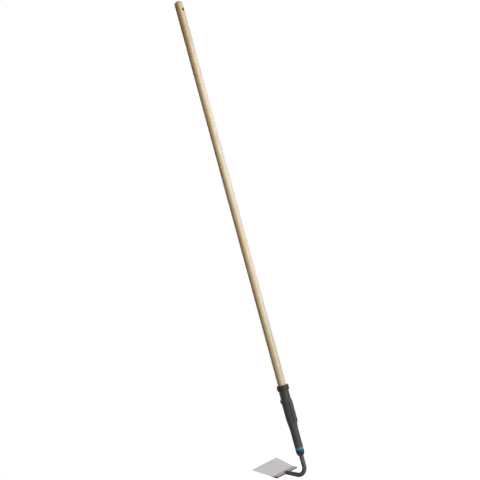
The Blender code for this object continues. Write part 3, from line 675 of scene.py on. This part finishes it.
def bent_bar_tree():
    """Tree that sweeps a round bar down, round one bend and along a rising run, with eased ends."""
    tree, add, given = new_tree(
        "bend_bar", Float=("Bar Diameter", "Tip Diameter", "Straight Length", "Bend Radius", "Bend Angle",
                           "Run Length", "Top Easing", "Tip Easing"), Vector=("Start",), Int=("Steps", "Sides"))
    bend_radius, straight_length, run_length = (
        given[name] for name in ("Bend Radius", "Straight Length", "Run Length"))
    bend_length = add("Math MULTIPLY", bend_radius, given["Bend Angle"])
    total = add("Math ADD", add("Math ADD", straight_length, bend_length), run_length)
    line = add("GeometryNodeCurvePrimitiveLine", Start=(0, 0, 0), End=(0, 0, -1))
    points = add("GeometryNodeResampleCurve", Curve=line, Count=given["Steps"])
    factor = add("GeometryNodeSplineParameter").outputs["Factor"]
    travel = add("Math MULTIPLY", factor, total)
    # How far along the straight, round the bend and along the run each point is.
    straight = add("Math MINIMUM", travel, straight_length)
    past_straight = add("Math MAXIMUM", add("Math SUBTRACT", travel, straight_length), 0.0)
    turn = add("Math DIVIDE", add("Math MINIMUM", past_straight, bend_length), bend_radius)
    along_run = add("Math MAXIMUM", add("Math SUBTRACT", past_straight, bend_length), 0.0)
    sine, cosine = add("Math SINE", turn), add("Math COSINE", turn)
    bend_forward = add("Math MULTIPLY", bend_radius, add("Math SUBTRACT", 1.0, cosine))
    forward = add("Math MULTIPLY_ADD", along_run, sine, bend_forward)
    bend_down = add("Math MULTIPLY_ADD", bend_radius, sine, straight)
    down = add("Math MULTIPLY_ADD", along_run, cosine, bend_down)
    place = add("CombineXYZ", Y=forward, Z=add("Math MULTIPLY", down, -1.0))
    path = add("GeometryNodeSetPosition", Geometry=points, Position=add("VectorMath ADD", place, given["Start"]))
    # Radius: even to the end of the bend, then tapering, with quarter-round ends.
    taper = add("Math DIVIDE", along_run, run_length)
    bar, tip = (add("Math MULTIPLY", given[name], 0.5) for name in ("Bar Diameter", "Tip Diameter"))
    radius = add("Math MULTIPLY_ADD", taper, add("Math SUBTRACT", tip, bar), bar)
    for distance, easing in (
            (travel, given["Top Easing"]), (add("Math SUBTRACT", total, travel), given["Tip Easing"])):
        short = add("Math SUBTRACT", 1.0, add("Math DIVIDE", distance, easing))
        short = add("Math MAXIMUM", short, 0.0)
        level = add("Math SQRT", add("Math SUBTRACT", 1.0, add("Math MULTIPLY", short, short)))
        drop = add("Math MULTIPLY", add("Math SUBTRACT", 1.0, level), easing)
        radius = add("Math SUBTRACT", radius, drop)
    circle = add("GeometryNodeCurvePrimitiveCircle", Resolution=given["Sides"], Radius=1.0, mode="RADIUS")
    swept = add("GeometryNodeCurveToMesh", Curve=path, Profile_Curve=circle, Scale=radius, Fill_Caps=True)
    return end_tree(tree, swept, given["Material"])


def weld_tree():
    """Tree that lays a rippled bead of weld metal along a path."""
    tree, add, given = new_tree("lay_weld_bead", Float=("Bead Size", "Ripple Spacing", "Ripple Depth"))
    path = add("GeometryNodeMeshToCurve", Mesh=given["Geometry"])
    # Seven rings draw the rise and the lip of a ripple.
    step = add("Math DIVIDE", given["Ripple Spacing"], 7.0)
    points = add("GeometryNodeResampleCurve", Curve=path, Length=step, mode="LENGTH")
    travel = add("GeometryNodeSplineParameter").outputs["Length"]
    count = add("Math DIVIDE", travel, given["Ripple Spacing"])
    # Each ripple rises slowly and ends in a short lip, as frozen weld pools do.
    lip = add("Math POWER", add("Math FRACT", count), 0.6)
    rise = add("Math MULTIPLY", lip, given["Ripple Depth"])
    size = add("Math ADD", add("Math SUBTRACT", given["Bead Size"], given["Ripple Depth"]), rise)
    circle = add("GeometryNodeCurvePrimitiveCircle", Resolution=28, Radius=1.0, mode="RADIUS")
    swept = add("GeometryNodeCurveToMesh", Curve=points, Profile_Curve=circle, Scale=size, Fill_Caps=True)
    return end_tree(tree, swept, given["Material"])


# ---- shapes of the socket ----

def body_radius(hoe):
    return hoe.handle.diameter / 2 + BORE_CLEARANCE + hoe.socket.wall + SHOULDER


def screw_hole(hoe):
    """Counterbore in the boss and the hole behind it, along +Y."""
    face = body_radius(hoe) + hoe.socket.boss_rise
    hole, counterbore, mouth = 0.0021, 0.0043, 0.0050
    seat, chamfer, past_wall = face - 0.0028, 0.0004, face + 0.006
    mesh = turned([
        (0.0, -0.0064), (hole, -0.0064), (hole, seat), (counterbore, seat), (counterbore, face - chamfer),
        (mouth, face + chamfer), (mouth, past_wall), (0.0, past_wall)], 40)
    mesh.transform(SCREW_PLACE)
    return mesh


def sleeve_form(hoe):
    """Closed turned form of the sleeve's outside, with each point's share of the flutes."""
    socket, body, slice_height = hoe.socket, body_radius(hoe), 0.0012
    neck = body - SHOULDER
    mouth, mouth_depth = neck - 0.0008, 0.0031
    collar_end = socket.collar_height + FIT
    ring_top = socket_top - nose_tip - socket.nose_length - socket.ring_height
    ring_end = ring_top + socket.ring_height
    tail_end = socket_top - sleeve_low
    ring_seat = socket.waist - RING_SEAT - BORE_CLEARANCE
    tail = socket.waist - NOSE_WALL - BORE_CLEARANCE
    flute_top = socket.body_depth + 0.0035
    outline = rounded_outline([
        (0.0, mouth_depth, 0), (mouth, mouth_depth, 0.0005), (mouth, collar_end, 0.0001),
        (neck, collar_end, 0.0003), (neck, collar_end + 0.0008, 0)], steps=4)
    outline += rounded_outline([
        (neck, socket.body_depth - 0.0008, 0), (neck, socket.body_depth, 0.0003),
        (body, socket.body_depth + 0.0003, 0.0003), (body, flute_top - 0.0008, 0)], steps=4)
    steps = round((socket.body_end - flute_top) / slice_height)
    outline += [(body, flute_top + (socket.body_end - flute_top) * step / steps) for step in range(steps)]
    steps = round(socket.taper / slice_height)
    for share in (step / steps for step in range(steps + 1)):
        curve = 0.55 * share + 0.45 * smooth_step(share)
        outline.append((body + (socket.waist - body) * curve, socket.body_end + socket.taper * share))
    outline += rounded_outline([
        (socket.waist, socket.body_end + socket.taper + 0.004, 0), (socket.waist, ring_top, 0.0003),
        (ring_seat, ring_top, 0.0001), (ring_seat, ring_end, 0.0001), (tail, ring_end, 0.0001),
        (tail, tail_end, 0.0005), (0.0, tail_end, 0)], steps=4)
    # Sixteen columns to a flute draw its round hollow.
    columns = 16 * socket.flutes
    mesh = turned([(radius, socket_top - depth) for radius, depth in outline], columns)
    depths = np.array([depth for _, depth in outline[1:-1]])
    share = smooth_step((depths - flute_top) / 0.008) * (1 - smooth_step((depths - socket.body_end) / 0.024))
    mark(mesh, "flute_share", np.concatenate([np.repeat(share, columns), np.zeros(2)]))
    return mesh


def panel_form(hoe):
    """Closed form of the raised panel at the back, ramped in at its top, with rounded edges."""
    socket, body, half = hoe.socket, body_radius(hoe), hoe.socket.panel_width / 2
    rounding, ramp_length, crown, bury = 0.0010, 0.010, 0.0008, 0.0008
    top = socket.body_depth - 0.001
    end = top + socket.panel_length
    edge = [(rounding * (1 - cosine), rounding * (1 - sine)) for sine, cosine in quarter(6)]
    right = [(half - inset, drop) for inset, drop in edge]
    right += [((half - rounding) * share, 0.0) for share in (0.85, 0.7, 0.5, 0.25)]
    across = right + [(0.0, 0.0)] + [(-side, drop) for side, drop in reversed(right)]
    levels = [(top + ramp_length * step / 8, step / 8, 0.0) for step in range(9)]
    level_length = socket.panel_length - ramp_length - 0.002
    levels += [(top + ramp_length + level_length * step / 12, 1.0, 0.0) for step in range(1, 13)]
    levels += [(end - inset, 1.0, drop) for inset, drop in reversed(edge)]
    rings = []
    for depth, ramp, end_drop in levels:
        ring = []
        for side, drop in across:
            full = body + socket.panel_rise - crown * (side / half) ** 2
            foot = math.sqrt(body ** 2 - side ** 2) - bury
            ring.append((side, -(foot + (full - drop - end_drop - foot) * ramp), socket_top - depth))
        inside = 0.0045 - body
        rings.append(ring + [(-half, inside, socket_top - depth), (half, inside, socket_top - depth)])
    middle = 0.002 - body
    return skin(rings, (0, middle, socket_top - top), (0, middle, socket_top - end))


def boss_form(hoe):
    """Closed form of the screw boss at the front, with leaning sides and a rounded face."""
    socket, face = hoe.socket, body_radius(hoe) + hoe.socket.boss_rise
    corner, rounding, lean = 0.0055, 0.0009, 0.0012
    levels = [(face - 0.0050, -lean), (face - rounding, 0.0)]
    levels += [(face - rounding * (1 - sine), rounding * (1 - cosine)) for sine, cosine in quarter(6)[1:]]
    rings = []
    for reach, inset in levels:
        ring = []
        for part in range(4):
            wide = (socket.boss_width / 2 - corner) * (1 if part in (0, 3) else -1)
            tall = (socket.boss_height / 2 - corner) * (1 if part in (0, 1) else -1)
            for angle in (math.pi / 2 * (part + step / 10) for step in range(11)):
                ring.append((wide + (corner - inset) * math.cos(angle), reach,
                             screw_axis + tall + (corner - inset) * math.sin(angle)))
        rings.append(ring)
    return skin(rings, (0, levels[0][0], screw_axis), (0, face, screw_axis))


# ---- shapes of the blade ----

def flange_matrix(hoe):
    """Place and slope of the flange, from the middle of the neck's end."""
    neck, turn = hoe.neck, math.pi / 2 + hoe.neck.rise
    forward = neck.bend_radius * (1 - math.cos(turn)) + neck.run * math.sin(turn)
    down = neck.drop + neck.bend_radius * math.sin(turn) + neck.run * math.cos(turn)
    return Matrix.Translation((0, forward, nose_tip - down)) @ Matrix.Rotation(hoe.blade.flange_rise, 4, "X")


def blade_rows(sizes):
    """Rows of the blade from rear to front, in the flange's own frame.

    Each row is (upper point, normal, thickness, half width, side grind, band of grind and painted light).
    """
    upper, half_flange, thick = sizes.flange_thickness / 2, sizes.flange_width / 2, sizes.flange_thickness
    rear_rounding, fold_radius, corner = 0.0006, 0.006, 0.003
    upright = Vector((0, 0, 1))
    rows = []
    for sine, cosine in quarter(4):
        drop = rear_rounding * (1 - sine)
        point = Vector((0, rear_rounding * (1 - cosine) - sizes.flange_reach, upper - drop))
        rows.append((point, upright, thick - 2 * drop, half_flange - drop, 0.0, 0.0))
    fold_start = Vector((0, sizes.flange_depth - fold_radius * math.tan(sizes.fold / 2), upper))
    for back in (0.012, 0.008, 0.0012, 0.0004):
        rows.append((fold_start - Vector((0, back, 0)), upright, thick, half_flange, 0.0, 0.0))
    centre = fold_start + Vector((0, 0, fold_radius))
    # Rows round the fold rise to band 0.30, which paints a highlight along the fold.
    for step in range(7):
        angle = sizes.fold * step / 6
        normal = Vector((0, -math.sin(angle), math.cos(angle)))
        rows.append((centre - fold_radius * normal, normal, thick, half_flange, 0.0, 0.30 * min(step / 2, 1.0)))
    start, normal = rows[-1][0], rows[-1][1]
    along = Vector((0, math.cos(sizes.fold), math.sin(sizes.fold)))
    bevel_start = sizes.plate_depth - sizes.bevel

    def plate_row(distance, inset, band):
        thickness = thick + (sizes.plate_thickness - thick) * min(distance / bevel_start, 1.0)
        drop = max(distance - bevel_start, 0.0) / sizes.bevel * (sizes.plate_thickness - sizes.edge)
        half = half_flange + (sizes.width - sizes.flange_width) / 2 * distance / sizes.plate_depth - inset
        grind = sizes.side_grind * min(distance / (2 * sizes.side_grind), 1.0)
        return start + along * distance - normal * drop, normal, thickness - drop, half, grind, band

    # Bands 0.32 and 0.42 carry the fold's painted highlight onto the plate; band 1.0 darkens the bevel, partly as
    # painted shade.
    for distance, band in (
            (0.0004, 0.32), (0.0012, 0.42), (0.004, 0.5), (0.010, 0.5), (0.030, 0.5),
            (bevel_start - 0.0006, 0.5), (bevel_start - 0.0001, 0.6), (bevel_start + 0.0002, 0.95),
            (bevel_start + 0.0008, 1.0)):
        rows.append(plate_row(distance, 0.0, band))
    for sine, cosine in quarter(8):
        rows.append(plate_row(sizes.plate_depth - corner * (1 - sine), corner * (1 - cosine), 1.0))
    return rows


def blade_section(row, dark_end):
    """Closed section of the blade at one row, from the middle of its upper face clockwise."""
    point, normal, thickness, half, grind, _ = row
    rounding, margin = min(0.0005, thickness * 0.35), 0.0005
    right = [(0.0, 0.0), (half * 0.5, 0.0), (half - dark_end, 0.0), (half - rounding - margin, 0.0)]
    right += [(half - rounding + rounding * sine, rounding * cosine - rounding) for sine, cosine in quarter(4)]
    if grind:
        land = min(0.0018, thickness * 0.7)
        right += [(half - grind * share, -land - (thickness - land) * share) for share in (0.0, 0.08, 0.5, 0.92, 1.0)]
    else:
        right += [(half - rounding + rounding * cosine, rounding - thickness - rounding * sine)
                  for sine, cosine in quarter(4)]
    right += [(half - max(grind, rounding) - margin, -thickness), (half * 0.5, -thickness), (0.0, -thickness)]
    left = [(-side, height) for side, height in reversed(right[1:-1])]
    return [point + Vector((side, 0, 0)) + normal * height for side, height in right + left]


# ---- operators ----

class HOE_OT_handle(Operator):
    """Turn the ash handle, round its top end and bore its hanging hole"""
    bl_idname = "garden_hoe.handle"
    bl_label = "Ash Handle"

    def execute(self, context):
        hoe = context.scene.garden_hoe
        sizes, radius, foot_chamfer = hoe.handle, hoe.handle.diameter / 2, 0.0020
        outline = [(radius * sine, handle_top - sizes.dome * (1 - cosine)) for sine, cosine in quarter(16)]
        # Rings by the hanging hole, the socket's mouth and the screw keep the faces small where holes are cut.
        outline += [(radius, height) for height in (
            0.0095, 0.005, 0.0, -0.005, -0.0095, -0.012, socket_top + 0.01, socket_top - 0.002,
            screw_axis + 0.006, screw_axis - 0.006, handle_foot + 0.0024, handle_foot + foot_chamfer)]
        outline += [(radius - foot_chamfer, handle_foot), (0.0, handle_foot)]
        handle = new_item("ash_handle", turned(outline, 120), make_oiled_ash(hoe.finish))
        hole, rim, flare = sizes.hole / 2, radius - 0.0018, sizes.hole_flare
        past_wood = radius + 0.004
        easing = [(hole + flare * (1 - cosine), rim + flare * sine) for sine, cosine in quarter(6)]
        wide = easing[-1][0]
        profile = [(0.0, -past_wood), (wide, -past_wood)] + [(r, -h) for r, h in reversed(easing[:-1])]
        profile += [(hole, 0.0)] + easing + [(wide, past_wood), (0.0, past_wood)]
        hanging_hole = turned(profile, 48)
        hanging_hole.transform(Matrix.Rotation(math.pi / 2, 4, "X"))
        carve(handle, hanging_hole)
        carve(handle, screw_hole(hoe))
        finish_piece(handle, "handle_shaft", 30.0)
        return {"FINISHED"}


class HOE_OT_sleeve(Operator):
    """Mould the sleeve: neck, fluted body with its panel and screw boss, taper and waist"""
    bl_idname = "garden_hoe.sleeve"
    bl_label = "Socket Sleeve"

    def execute(self, context):
        hoe = context.scene.garden_hoe
        # Spark-eroded grain of 0.25 mm, drawn at 0.45 mm.
        # The flutes' grooves get painted shade and their ridges a touch of painted light.
        nylon = make_moulded_nylon(
            "glass_filled_nylon", hoe.finish.nylon, grain_mm=0.45, roughness=0.64, gloss=0.26,
            ridge_shade=1.04, groove_shade=0.70, polished_above=socket_top - hoe.socket.body_depth)
        sleeve = new_item("socket_sleeve_shell", sleeve_form(hoe), nylon)
        run_tree(sleeve, flute_tree(), {
            "Flute Count": hoe.socket.flutes, "First Angle": math.pi / 2, "Flute Depth": hoe.socket.flute_depth,
            "Groove Sharpness": 2.0, "Material": nylon})
        carve(sleeve, panel_form(hoe), "UNION")
        carve(sleeve, boss_form(hoe), "UNION")
        for diameter, low, high in (
                (hoe.handle.diameter, handle_foot - BORE_CLEARANCE, socket_top),
                (hoe.neck.diameter, sleeve_low - 0.004, shank_top + BORE_CLEARANCE)):
            radius = diameter / 2 + BORE_CLEARANCE
            carve(sleeve, turned([(0.0, low), (radius, low), (radius, high), (0.0, high)], 96))
        carve(sleeve, screw_hole(hoe))
        finish_piece(sleeve, "socket_sleeve", 38.0)
        return {"FINISHED"}


class HOE_OT_trim(Operator):
    """Mould the soft collar and the coloured ring"""
    bl_idname = "garden_hoe.trim"
    bl_label = "Collar and Ring"

    def execute(self, context):
        hoe = context.scene.garden_hoe
        socket, bore = hoe.socket, hoe.handle.diameter / 2 + BORE_CLEARANCE
        outer, grip = bore + socket.wall + socket.collar_wall, bore - 0.0001
        seat, shelf = bore + socket.wall - 0.0008 + FIT, socket_top - 0.003
        lip, foot = socket_top + socket.collar_lip, socket_top - socket.collar_height
        outline = rounded_outline([
            (grip, lip, 0.0006), (outer, lip, 0.0038), (outer, foot, 0.0036), (seat, foot, 0.0002),
            (seat, shelf, 0.0001), (grip, shelf, 0.0002)], True, 8)
        collar = new_item("soft_collar", turned(outline, 128, True), make_soft_rubber(hoe.finish.rubber))
        finish_piece(collar, "socket_collar", 50.0)
        inner, low = socket.waist - RING_SEAT, nose_tip + socket.nose_length + FIT
        high = low + socket.ring_height - 2 * FIT
        outline = rounded_outline([
            (inner, high, 0.0002), (socket.waist, high, 0.0005), (socket.waist, low, 0.0005),
            (inner, low, 0.0002)], True, 5)
        ring = new_item("coloured_ring", turned(outline, 128, True), make_coloured_nylon(hoe.finish.ring))
        finish_piece(ring, "accent_ring", 50.0)
        return {"FINISHED"}


class HOE_OT_nose(Operator):
    """Mould the fluted nose cap that closes on the gooseneck"""
    bl_idname = "garden_hoe.nose"
    bl_label = "Nose Cap"

    def execute(self, context):
        hoe = context.scene.garden_hoe
        waist, tip_radius = hoe.socket.waist, hoe.socket.nose_tip_radius
        top, inner = nose_tip + hoe.socket.nose_length, waist - NOSE_WALL
        bore, shelf = hoe.neck.diameter / 2 + BORE_CLEARANCE, sleeve_low - FIT
        dome = hoe.socket.nose_length - 0.004
        outline = rounded_outline([
            (inner, top - 0.0005, 0), (inner, top, 0.0002), (waist, top, 0.0005), (waist, top - 0.0015, 0)])
        outline += [(waist, top - 0.0025), (waist, nose_tip + dome)]
        for share in (1 - step / 40 for step in range(1, 40)):
            outline.append((tip_radius + (waist - tip_radius) * (1 - (1 - share) ** 2.2), nose_tip + dome * share))
        outline += rounded_outline([
            (tip_radius + 0.0002, nose_tip + dome * 0.02, 0), (tip_radius, nose_tip, 0.0004),
            (bore, nose_tip, 0.0002), (bore, shelf, 0.0001), (inner, shelf, 0.0001), (inner, shelf + 0.0005, 0)])
        mesh = turned(outline, 216, True)
        points = np.empty(len(mesh.vertices) * 3, np.float32)
        mesh.vertices.foreach_get("co", points)
        x, y, z = points.reshape(-1, 3).T
        # The grooves are shallower at the tip and run out at the top; the inside has none.
        up = (z - nose_tip) / dome
        wall = np.where(z < shelf - 0.0004, bore + 0.0006, inner + 0.0004)
        outside = smooth_step((np.hypot(x, y) - wall) / 0.0008)
        mark(mesh, "flute_share", (0.5 + 0.5 * smooth_step(3 * up)) * smooth_step(3 * (1 - up)) * outside)
        # The nose's grooves are painted almost black as shade and its ridges lighter as painted light, and no part of
        # it is polished.
        nylon = make_moulded_nylon(
            "moulded_nose_nylon", hoe.finish.nose, grain_mm=0.4, roughness=0.55, gloss=0.08,
            ridge_shade=1.18, groove_shade=0.08, polished_above=socket_top)
        nose = new_item("fluted_nose", mesh, nylon)
        run_tree(nose, flute_tree(), {
            "Flute Count": hoe.socket.nose_flutes, "First Angle": 0.0,
            "Flute Depth": hoe.socket.nose_flute_depth, "Groove Sharpness": 0.9, "Material": nylon})
        finish_piece(nose, "nose_cap", 40.0)
        return {"FINISHED"}


class HOE_OT_gooseneck(Operator):
    """Sweep the bent bar, key its shank and slot its end over the blade"""
    bl_idname = "garden_hoe.gooseneck"
    bl_label = "Gooseneck"

    def execute(self, context):
        hoe = context.scene.garden_hoe
        neck, wide = hoe.neck, 0.011
        bar = new_item("bent_bar", bpy.data.meshes.new("bent_bar"))
        run_tree(bar, bent_bar_tree(), {
            "Bar Diameter": neck.diameter, "Tip Diameter": neck.tip_diameter,
            "Straight Length": shank_top - nose_tip + neck.drop, "Bend Radius": neck.bend_radius,
            "Bend Angle": math.pi / 2 + neck.rise, "Run Length": neck.run + neck.lap,
            "Top Easing": 0.0008, "Tip Easing": 0.0018, "Start": (0.0, 0.0, shank_top),
            "Steps": 520, "Sides": 64, "Material": make_powder_coat(hoe.finish.coat)})
        # Two flats, 2.2 mm deep and 30 mm long, key the shank in the sleeve.
        top, near, far = shank_top - 0.012, neck.diameter / 2 - 0.0022, neck.diameter / 2 + 0.004
        for left, right in ((-far, -near), (near, far)):
            carve(bar, block((left, -wide, top - 0.030), (right, wide, top)))
        half = hoe.blade.flange_thickness / 2 + 0.00005
        slot = block((-wide, -0.0001 - hoe.blade.flange_reach, -half), (wide, neck.lap + 0.004, half))
        slot.transform(flange_matrix(hoe))
        carve(bar, slot)
        finish_piece(bar, "gooseneck", 40.0)
        return {"FINISHED"}


class HOE_OT_blade(Operator):
    """Press, fold and grind the blade"""
    bl_idname = "garden_hoe.blade"
    bl_label = "Blade"

    def execute(self, context):
        hoe = context.scene.garden_hoe
        sizes, finish = hoe.blade, hoe.finish
        rows = blade_rows(sizes)
        rings = [blade_section(row, sizes.dark_end) for row in rows]
        start, end = (point - normal * thickness / 2 for point, normal, thickness, *_ in (rows[0], rows[-1]))
        mesh = skin(rings, start, end)
        mark(mesh, "grind_and_light_band", [row[5] for row in rows for _ in rings[0]] + [0.0, 1.0])
        # Tone of each point of half a section, from the upper face over the greyer side to the lower face.
        half_tones = [1.0] * 6 + [0.9, 0.7] + [0.55] * 3 + [0.8] + [1.0] * 5
        mark(mesh, "side_tone", (half_tones + half_tones[-2:0:-1]) * len(rows) + [1.0, 1.0])
        for material in (make_ground_steel(finish), make_dark_edge("dark_rear_edge", finish.rear_edge_dark),
                         make_dark_edge("dark_flange_end", finish.flange_end_dark)):
            mesh.materials.append(material)
        # Faces by the flange's ends are drawn near black, and the rear edge faces dark grey.
        for face in mesh.polygons:
            place = face.center
            if place.y < sizes.dark_depth - 0.002 and abs(place.x) > sizes.flange_width / 2 - sizes.dark_end:
                face.material_index = 2
            elif place.y < 0.0004 - sizes.flange_reach:
                face.material_index = 1
        mesh.transform(flange_matrix(hoe))
        finish_piece(new_item("folded_blade", mesh), "hoe_blade", 60.0)
        return {"FINISHED"}


class HOE_OT_welds(Operator):
    """Lay the rippled weld beads above and below the flange"""
    bl_idname = "garden_hoe.welds"
    bl_label = "Weld Beads"

    def execute(self, context):
        hoe = context.scene.garden_hoe
        neck, place = hoe.neck, flange_matrix(hoe)
        coat, tree, corner = make_coated_weld(hoe.finish.coat), weld_tree(), 0.0034
        for name, node, side in (("weld_bead_upper", "upper_weld", 1), ("weld_bead_lower", "lower_weld", -1)):
            height = side * hoe.blade.flange_thickness / 2
            half = math.sqrt((neck.tip_diameter / 2) ** 2 - height ** 2) + 0.0002
            route = [Vector((-half, 0.0006, height))]
            route += [Vector((corner - half - corner * cosine, neck.lap - corner + corner * sine, height))
                      for sine, cosine in quarter(12)]
            route += [Vector((-point.x, point.y, point.z)) for point in reversed(route)]
            mesh = bpy.data.meshes.new(name)
            edges = [(index, index + 1) for index in range(len(route) - 1)]
            mesh.from_pydata([place @ point for point in route], edges, [])
            bead = new_item(name, mesh)
            run_tree(bead, tree, {
                "Bead Size": neck.bead, "Ripple Spacing": neck.ripple, "Ripple Depth": 0.0003, "Material": coat})
            inner, wide = abs(height) - 0.00008, 0.03
            flange = block((-wide, -wide, -inner), (wide, wide, inner))
            flange.transform(place)
            carve(bead, flange)
            finish_piece(bead, node, 50.0)
        return {"FINISHED"}


class HOE_OT_screw(Operator):
    """Turn the wood screw that pins the handle, with its cross recess"""
    bl_idname = "garden_hoe.screw"
    bl_label = "Handle Screw"

    def execute(self, context):
        hoe = context.scene.garden_hoe
        seat = body_radius(hoe) + hoe.socket.boss_rise - 0.0025
        crown, shank, head, root, thread = seat + 0.0022, 0.0017, 0.0040, 0.0015, 0.0020
        outline = [(0.0, -0.0060), (0.0006, -0.0050), (shank, -0.0030)]
        # Worm thread of 1.4 mm pitch, turned as rings because the wood hides it.
        for height in (-0.0020 + turn * 0.0014 for turn in range(12)):
            outline += [(root, height - 0.0003), (thread, height), (root, height + 0.0004)]
        outline += rounded_outline([
            (shank, 0.0150, 0), (shank, seat, 0.0002), (head, seat, 0.0003), (head, seat + 0.0009, 0.0004),
            (0.0030, crown - 0.0002, 0.0006), (0.0, crown, 0)])
        screw = new_item("wood_screw", turned(outline, 48), make_zinc_plate(hoe.finish.zinc))
        for wide, tall in ((0.00050, 0.0021), (0.0021, 0.00050)):
            carve(screw, block((-wide, -tall, crown - 0.0013), (wide, tall, crown + 0.002)))
        screw.data.transform(SCREW_PLACE)
        finish_piece(screw, "handle_screw", 35.0)
        return {"FINISHED"}


def seen_rays(add):
    """1 for rays from the camera and those that gloss or glass sends on, else 0."""
    path = add("LightPath").outputs
    seen = add("Math MAXIMUM", path["Is Camera Ray"], path["Is Glossy Ray"])
    return add("Math MAXIMUM", seen, path["Is Transmission Ray"])


class HOE_OT_stage(Operator):
    """Set the floor, the soft lights, the white surroundings and the camera"""
    bl_idname = "garden_hoe.stage"
    bl_label = "Stage"

    def execute(self, context):
        scene, stage = context.scene, context.scene.garden_hoe.stage
        heading, quarter_turn = stage.camera_heading, math.pi / 2
        data = bpy.data.cameras.new("photo_camera")
        data.lens, data.sensor_width, data.clip_end = stage.lens, 36.0, 200.0
        camera = bpy.data.objects.new("photo_camera", data)
        camera.matrix_world = (
            Matrix.Translation(stage.camera_place) @ Matrix.Rotation(heading - quarter_turn, 4, "Z")
            @ Matrix.Rotation(stage.camera_pitch + quarter_turn, 4, "X") @ Matrix.Rotation(stage.camera_roll, 4, "Z"))
        scene.collection.objects.link(camera)
        scene.camera = camera

        # Each sun stands so far to the right of the camera, so high up, and is so soft.
        for name, strength, side_deg, height_deg, soft_deg in (
                ("key_light", stage.key_strength, 47, 15, 42),
                ("back_light", stage.back_strength, -150, 10, 30),
                ("far_light", stage.far_strength, -176, 0, 30)):
            bearing, height = heading + math.pi + math.radians(side_deg), math.radians(height_deg)
            level_part = math.cos(height)
            source = Vector((math.cos(bearing) * level_part, math.sin(bearing) * level_part, math.sin(height)))
            light = bpy.data.lights.new(name, "SUN")
            light.energy, light.angle = strength, math.radians(soft_deg)
            lamp = bpy.data.objects.new(name, light)
            lamp.rotation_euler = source.to_track_quat("Z", "Y").to_euler()
            lamp.location = source * 4
            scene.collection.objects.link(lamp)

        world = bpy.data.worlds.new("white_room")
        world.use_nodes = True
        scene.world = world
        add = partial(add_node, world.node_tree)
        fill(
            world.node_tree.nodes["Background"], Color=(1, 1, 1, 1),
            Strength=add("MapRange", seen_rays(add), 0.0, 1.0, stage.fill_strength, 1.0))

        material, add, shader, place = new_material("matt_studio_floor")
        cloud = add("TexNoise", place, Scale=0.8, Detail=2.0)
        tone = add("Mix", cloud, opaque(stage.floor_colour, 0.985), opaque(stage.floor_colour), **RGBA)
        # The camera sees the floor a little brighter than it lights the tool, so that it ends in the white room.
        fill(
            shader, Base_Color=tone, Roughness=0.9, Specular_IOR_Level=0.2, Emission_Color=(1, 1, 1, 1),
            Emission_Strength=add("Math MULTIPLY", seen_rays(add), 0.72))
        reach, sides = 2.3, 96
        angles = [math.tau * step / sides for step in range(sides)]
        mesh = bpy.data.meshes.new("studio_floor")
        mesh.from_pydata(
            [(reach * math.cos(angle), reach * math.sin(angle), stage.floor_level) for angle in angles],
            [], [tuple(range(sides))])
        floor = new_item("studio_floor", mesh, material)
        scene.view_settings.view_transform = "Standard"
        return {"FINISHED"}


class HOE_PT_parts(Panel):
    """Buttons for the pieces of the hoe and for the stage"""
    bl_idname = "HOE_PT_parts"
    bl_label = "Garden Draw Hoe"
    bl_space_type = "VIEW_3D"
    bl_region_type = "UI"
    bl_category = "Hoe"

    def draw(self, context):
        hoe = context.scene.garden_hoe
        for group, operators in (
                (hoe.handle, (HOE_OT_handle,)), (hoe.socket, (HOE_OT_sleeve, HOE_OT_trim, HOE_OT_nose)),
                (hoe.neck, (HOE_OT_gooseneck, HOE_OT_welds)), (hoe.blade, (HOE_OT_blade, HOE_OT_screw)),
                (hoe.finish, ()), (hoe.stage, (HOE_OT_stage,))):
            box = self.layout.box()
            for name in group.__annotations__:
                box.prop(group, name)
            for operator in operators:
                box.operator(operator.bl_idname)


CLASSES = (
    HandleSizes, SocketSizes, NeckSizes, BladeSizes, FinishColours, StageSettings, HoeSettings,
    HOE_OT_handle, HOE_OT_sleeve, HOE_OT_trim, HOE_OT_nose, HOE_OT_gooseneck, HOE_OT_blade, HOE_OT_welds,
    HOE_OT_screw, HOE_OT_stage, HOE_PT_parts,
)


def register():
    for item in CLASSES:
        bpy.utils.register_class(item)
    bpy.types.Scene.garden_hoe = PointerProperty(type=HoeSettings, name="Garden Draw Hoe")


def unregister():
    del bpy.types.Scene.garden_hoe
    for item in reversed(CLASSES):
        bpy.utils.unregister_class(item)


def main():
    kept = {item.name for group in ("nodes", "bodies") for item in frame[group].values()}
    for item in list(bpy.data.objects):
        if item.name not in kept:
            bpy.data.objects.remove(item)
    register()
    bpy.ops.garden_hoe.handle()
    bpy.ops.garden_hoe.sleeve()
    bpy.ops.garden_hoe.trim()
    bpy.ops.garden_hoe.nose()
    bpy.ops.garden_hoe.gooseneck()
    bpy.ops.garden_hoe.blade()
    bpy.ops.garden_hoe.welds()
    bpy.ops.garden_hoe.screw()
    bpy.ops.garden_hoe.stage()


if __name__ == "__main__":
    main()
